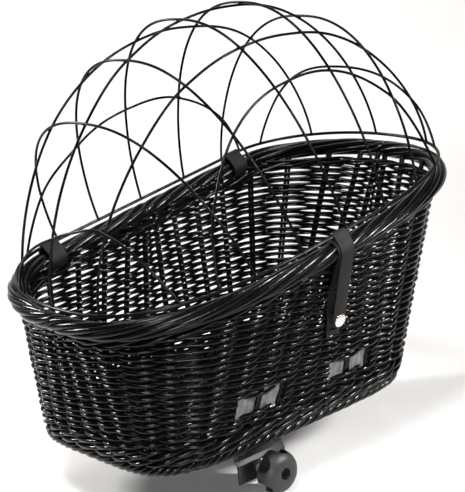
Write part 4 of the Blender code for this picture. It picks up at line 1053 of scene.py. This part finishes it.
# Each light: its place, what it faces, its width and height, its power in watts and its spread in degrees.
LIGHTS = {
    "softbox": ((-0.8, -0.4, 2.6), (0.1, 0.3, 0.0), (0.8, 0.8), 5.0, 40),
    "rim_light": ((-1.2, 2.0, 1.5), (-0.15, 0.0, 0.25), (0.25, 0.6), 4.5, 40),
    "front": ((1.2, -2.0, 1.5), (0.0, -0.1, 0.2), (0.12, 0.6), 2.8, 24),
    "wash": ((-1.4, -1.6, 0.4), (0.05, 0.1, 0.0), (0.6, 0.2), 1.8, 50),
    "background": ((0.9, 1.5, 3.2), (2.2, 2.9, 0.5), (3.0, 2.5), 138.0, 150),
    "backdrop": ((-1.4, -2.2, 3.2), (-2.7, -3.6, 0.5), (3.0, 2.5), 90.0, 150),
}


class BASKET_OT_set_stage(bpy.types.Operator):
    """Set the floor, the lights and the camera."""
    bl_idname = "basket.set_stage"
    bl_label = "Set Stage"

    def execute(self, context):
        profile = [(SWEEP_START, 0.0)]
        for turn in np.linspace(-math.pi / 2, 0.0, SWEEP_POINTS):
            along, up = SWEEP_BEND * math.cos(turn), SWEEP_BEND * (1 + math.sin(turn))
            profile.append((SWEEP_DISTANCE + along, up))
        profile.append((SWEEP_DISTANCE + SWEEP_BEND, SWEEP_TOP))
        away = Vector((-CAMERA_BACK[0], -CAMERA_BACK[1], 0.0)).normalized()
        aside = Vector((-away.y, away.x, 0.0)) * SWEEP_HALF_WIDTH
        edges = [[away * along + aside * side + Vector((0, 0, up)) for along, up in profile]
                 for side in (-1, 1)]
        floor = bpy.data.objects.new("floor", surface("floor", edges, once(plain_floor)))
        context.scene.collection.objects.link(floor)
        world = bpy.data.worlds.new("studio")
        world.use_nodes = True
        sky = world.node_tree.nodes["Background"].inputs
        sky["Color"].default_value = rgba("#ffffff")
        sky["Strength"].default_value = WORLD_STRENGTH
        context.scene.world = world
        for name, light in LIGHTS.items():
            area_light(name, *light)
        context.scene.view_settings.view_transform = "Standard"
        data = bpy.data.cameras.new("camera")
        data.sensor_fit = "HORIZONTAL"
        data.sensor_width = SENSOR_WIDTH
        data.lens = FOCAL_PIXELS * SENSOR_WIDTH / PHOTO_WIDTH
        camera = bpy.data.objects.new("camera", data)
        turn = Matrix((CAMERA_RIGHT, CAMERA_UP, CAMERA_BACK)).transposed()
        camera.matrix_world = Matrix.Translation(CAMERA_SPOT) @ turn.to_4x4()
        context.scene.collection.objects.link(camera)
        context.scene.camera = camera
        return {"FINISHED"}


STEPS = [BASKET_OT_weave_wall, BASKET_OT_roll_border, BASKET_OT_twist_foot, BASKET_OT_weave_base,
         BASKET_OT_hang_cloth, BASKET_OT_bend_hood, BASKET_OT_cut_leather, BASKET_OT_fit_clamp,
         BASKET_OT_set_stage]


class BASKET_PT_maker(bpy.types.Panel):
    """Lists the steps that dress the basket."""
    bl_label = "Basket"
    bl_idname = "BASKET_PT_maker"
    bl_space_type = "VIEW_3D"
    bl_region_type = "UI"
    bl_category = "Basket"

    def draw(self, context):
        for step in STEPS:
            self.layout.operator(step.bl_idname)


CLASSES = [*GROUPS.values(), *STEPS, BASKET_PT_maker]


def register():
    for made in CLASSES:
        bpy.utils.register_class(made)
    for name, group in GROUPS.items():
        setattr(bpy.types.Scene, name, PointerProperty(type=group))


def unregister():
    for name in GROUPS:
        delattr(bpy.types.Scene, name)
    for made in reversed(CLASSES):
        bpy.utils.unregister_class(made)


def main():
    register()
    bpy.ops.basket.set_stage()
    bpy.ops.basket.weave_wall()
    bpy.ops.basket.roll_border()
    bpy.ops.basket.twist_foot()
    bpy.ops.basket.weave_base()
    bpy.ops.basket.hang_cloth()
    bpy.ops.basket.bend_hood()
    bpy.ops.basket.cut_leather()
    bpy.ops.basket.fit_clamp()


if __name__ == "__main__":
    main()
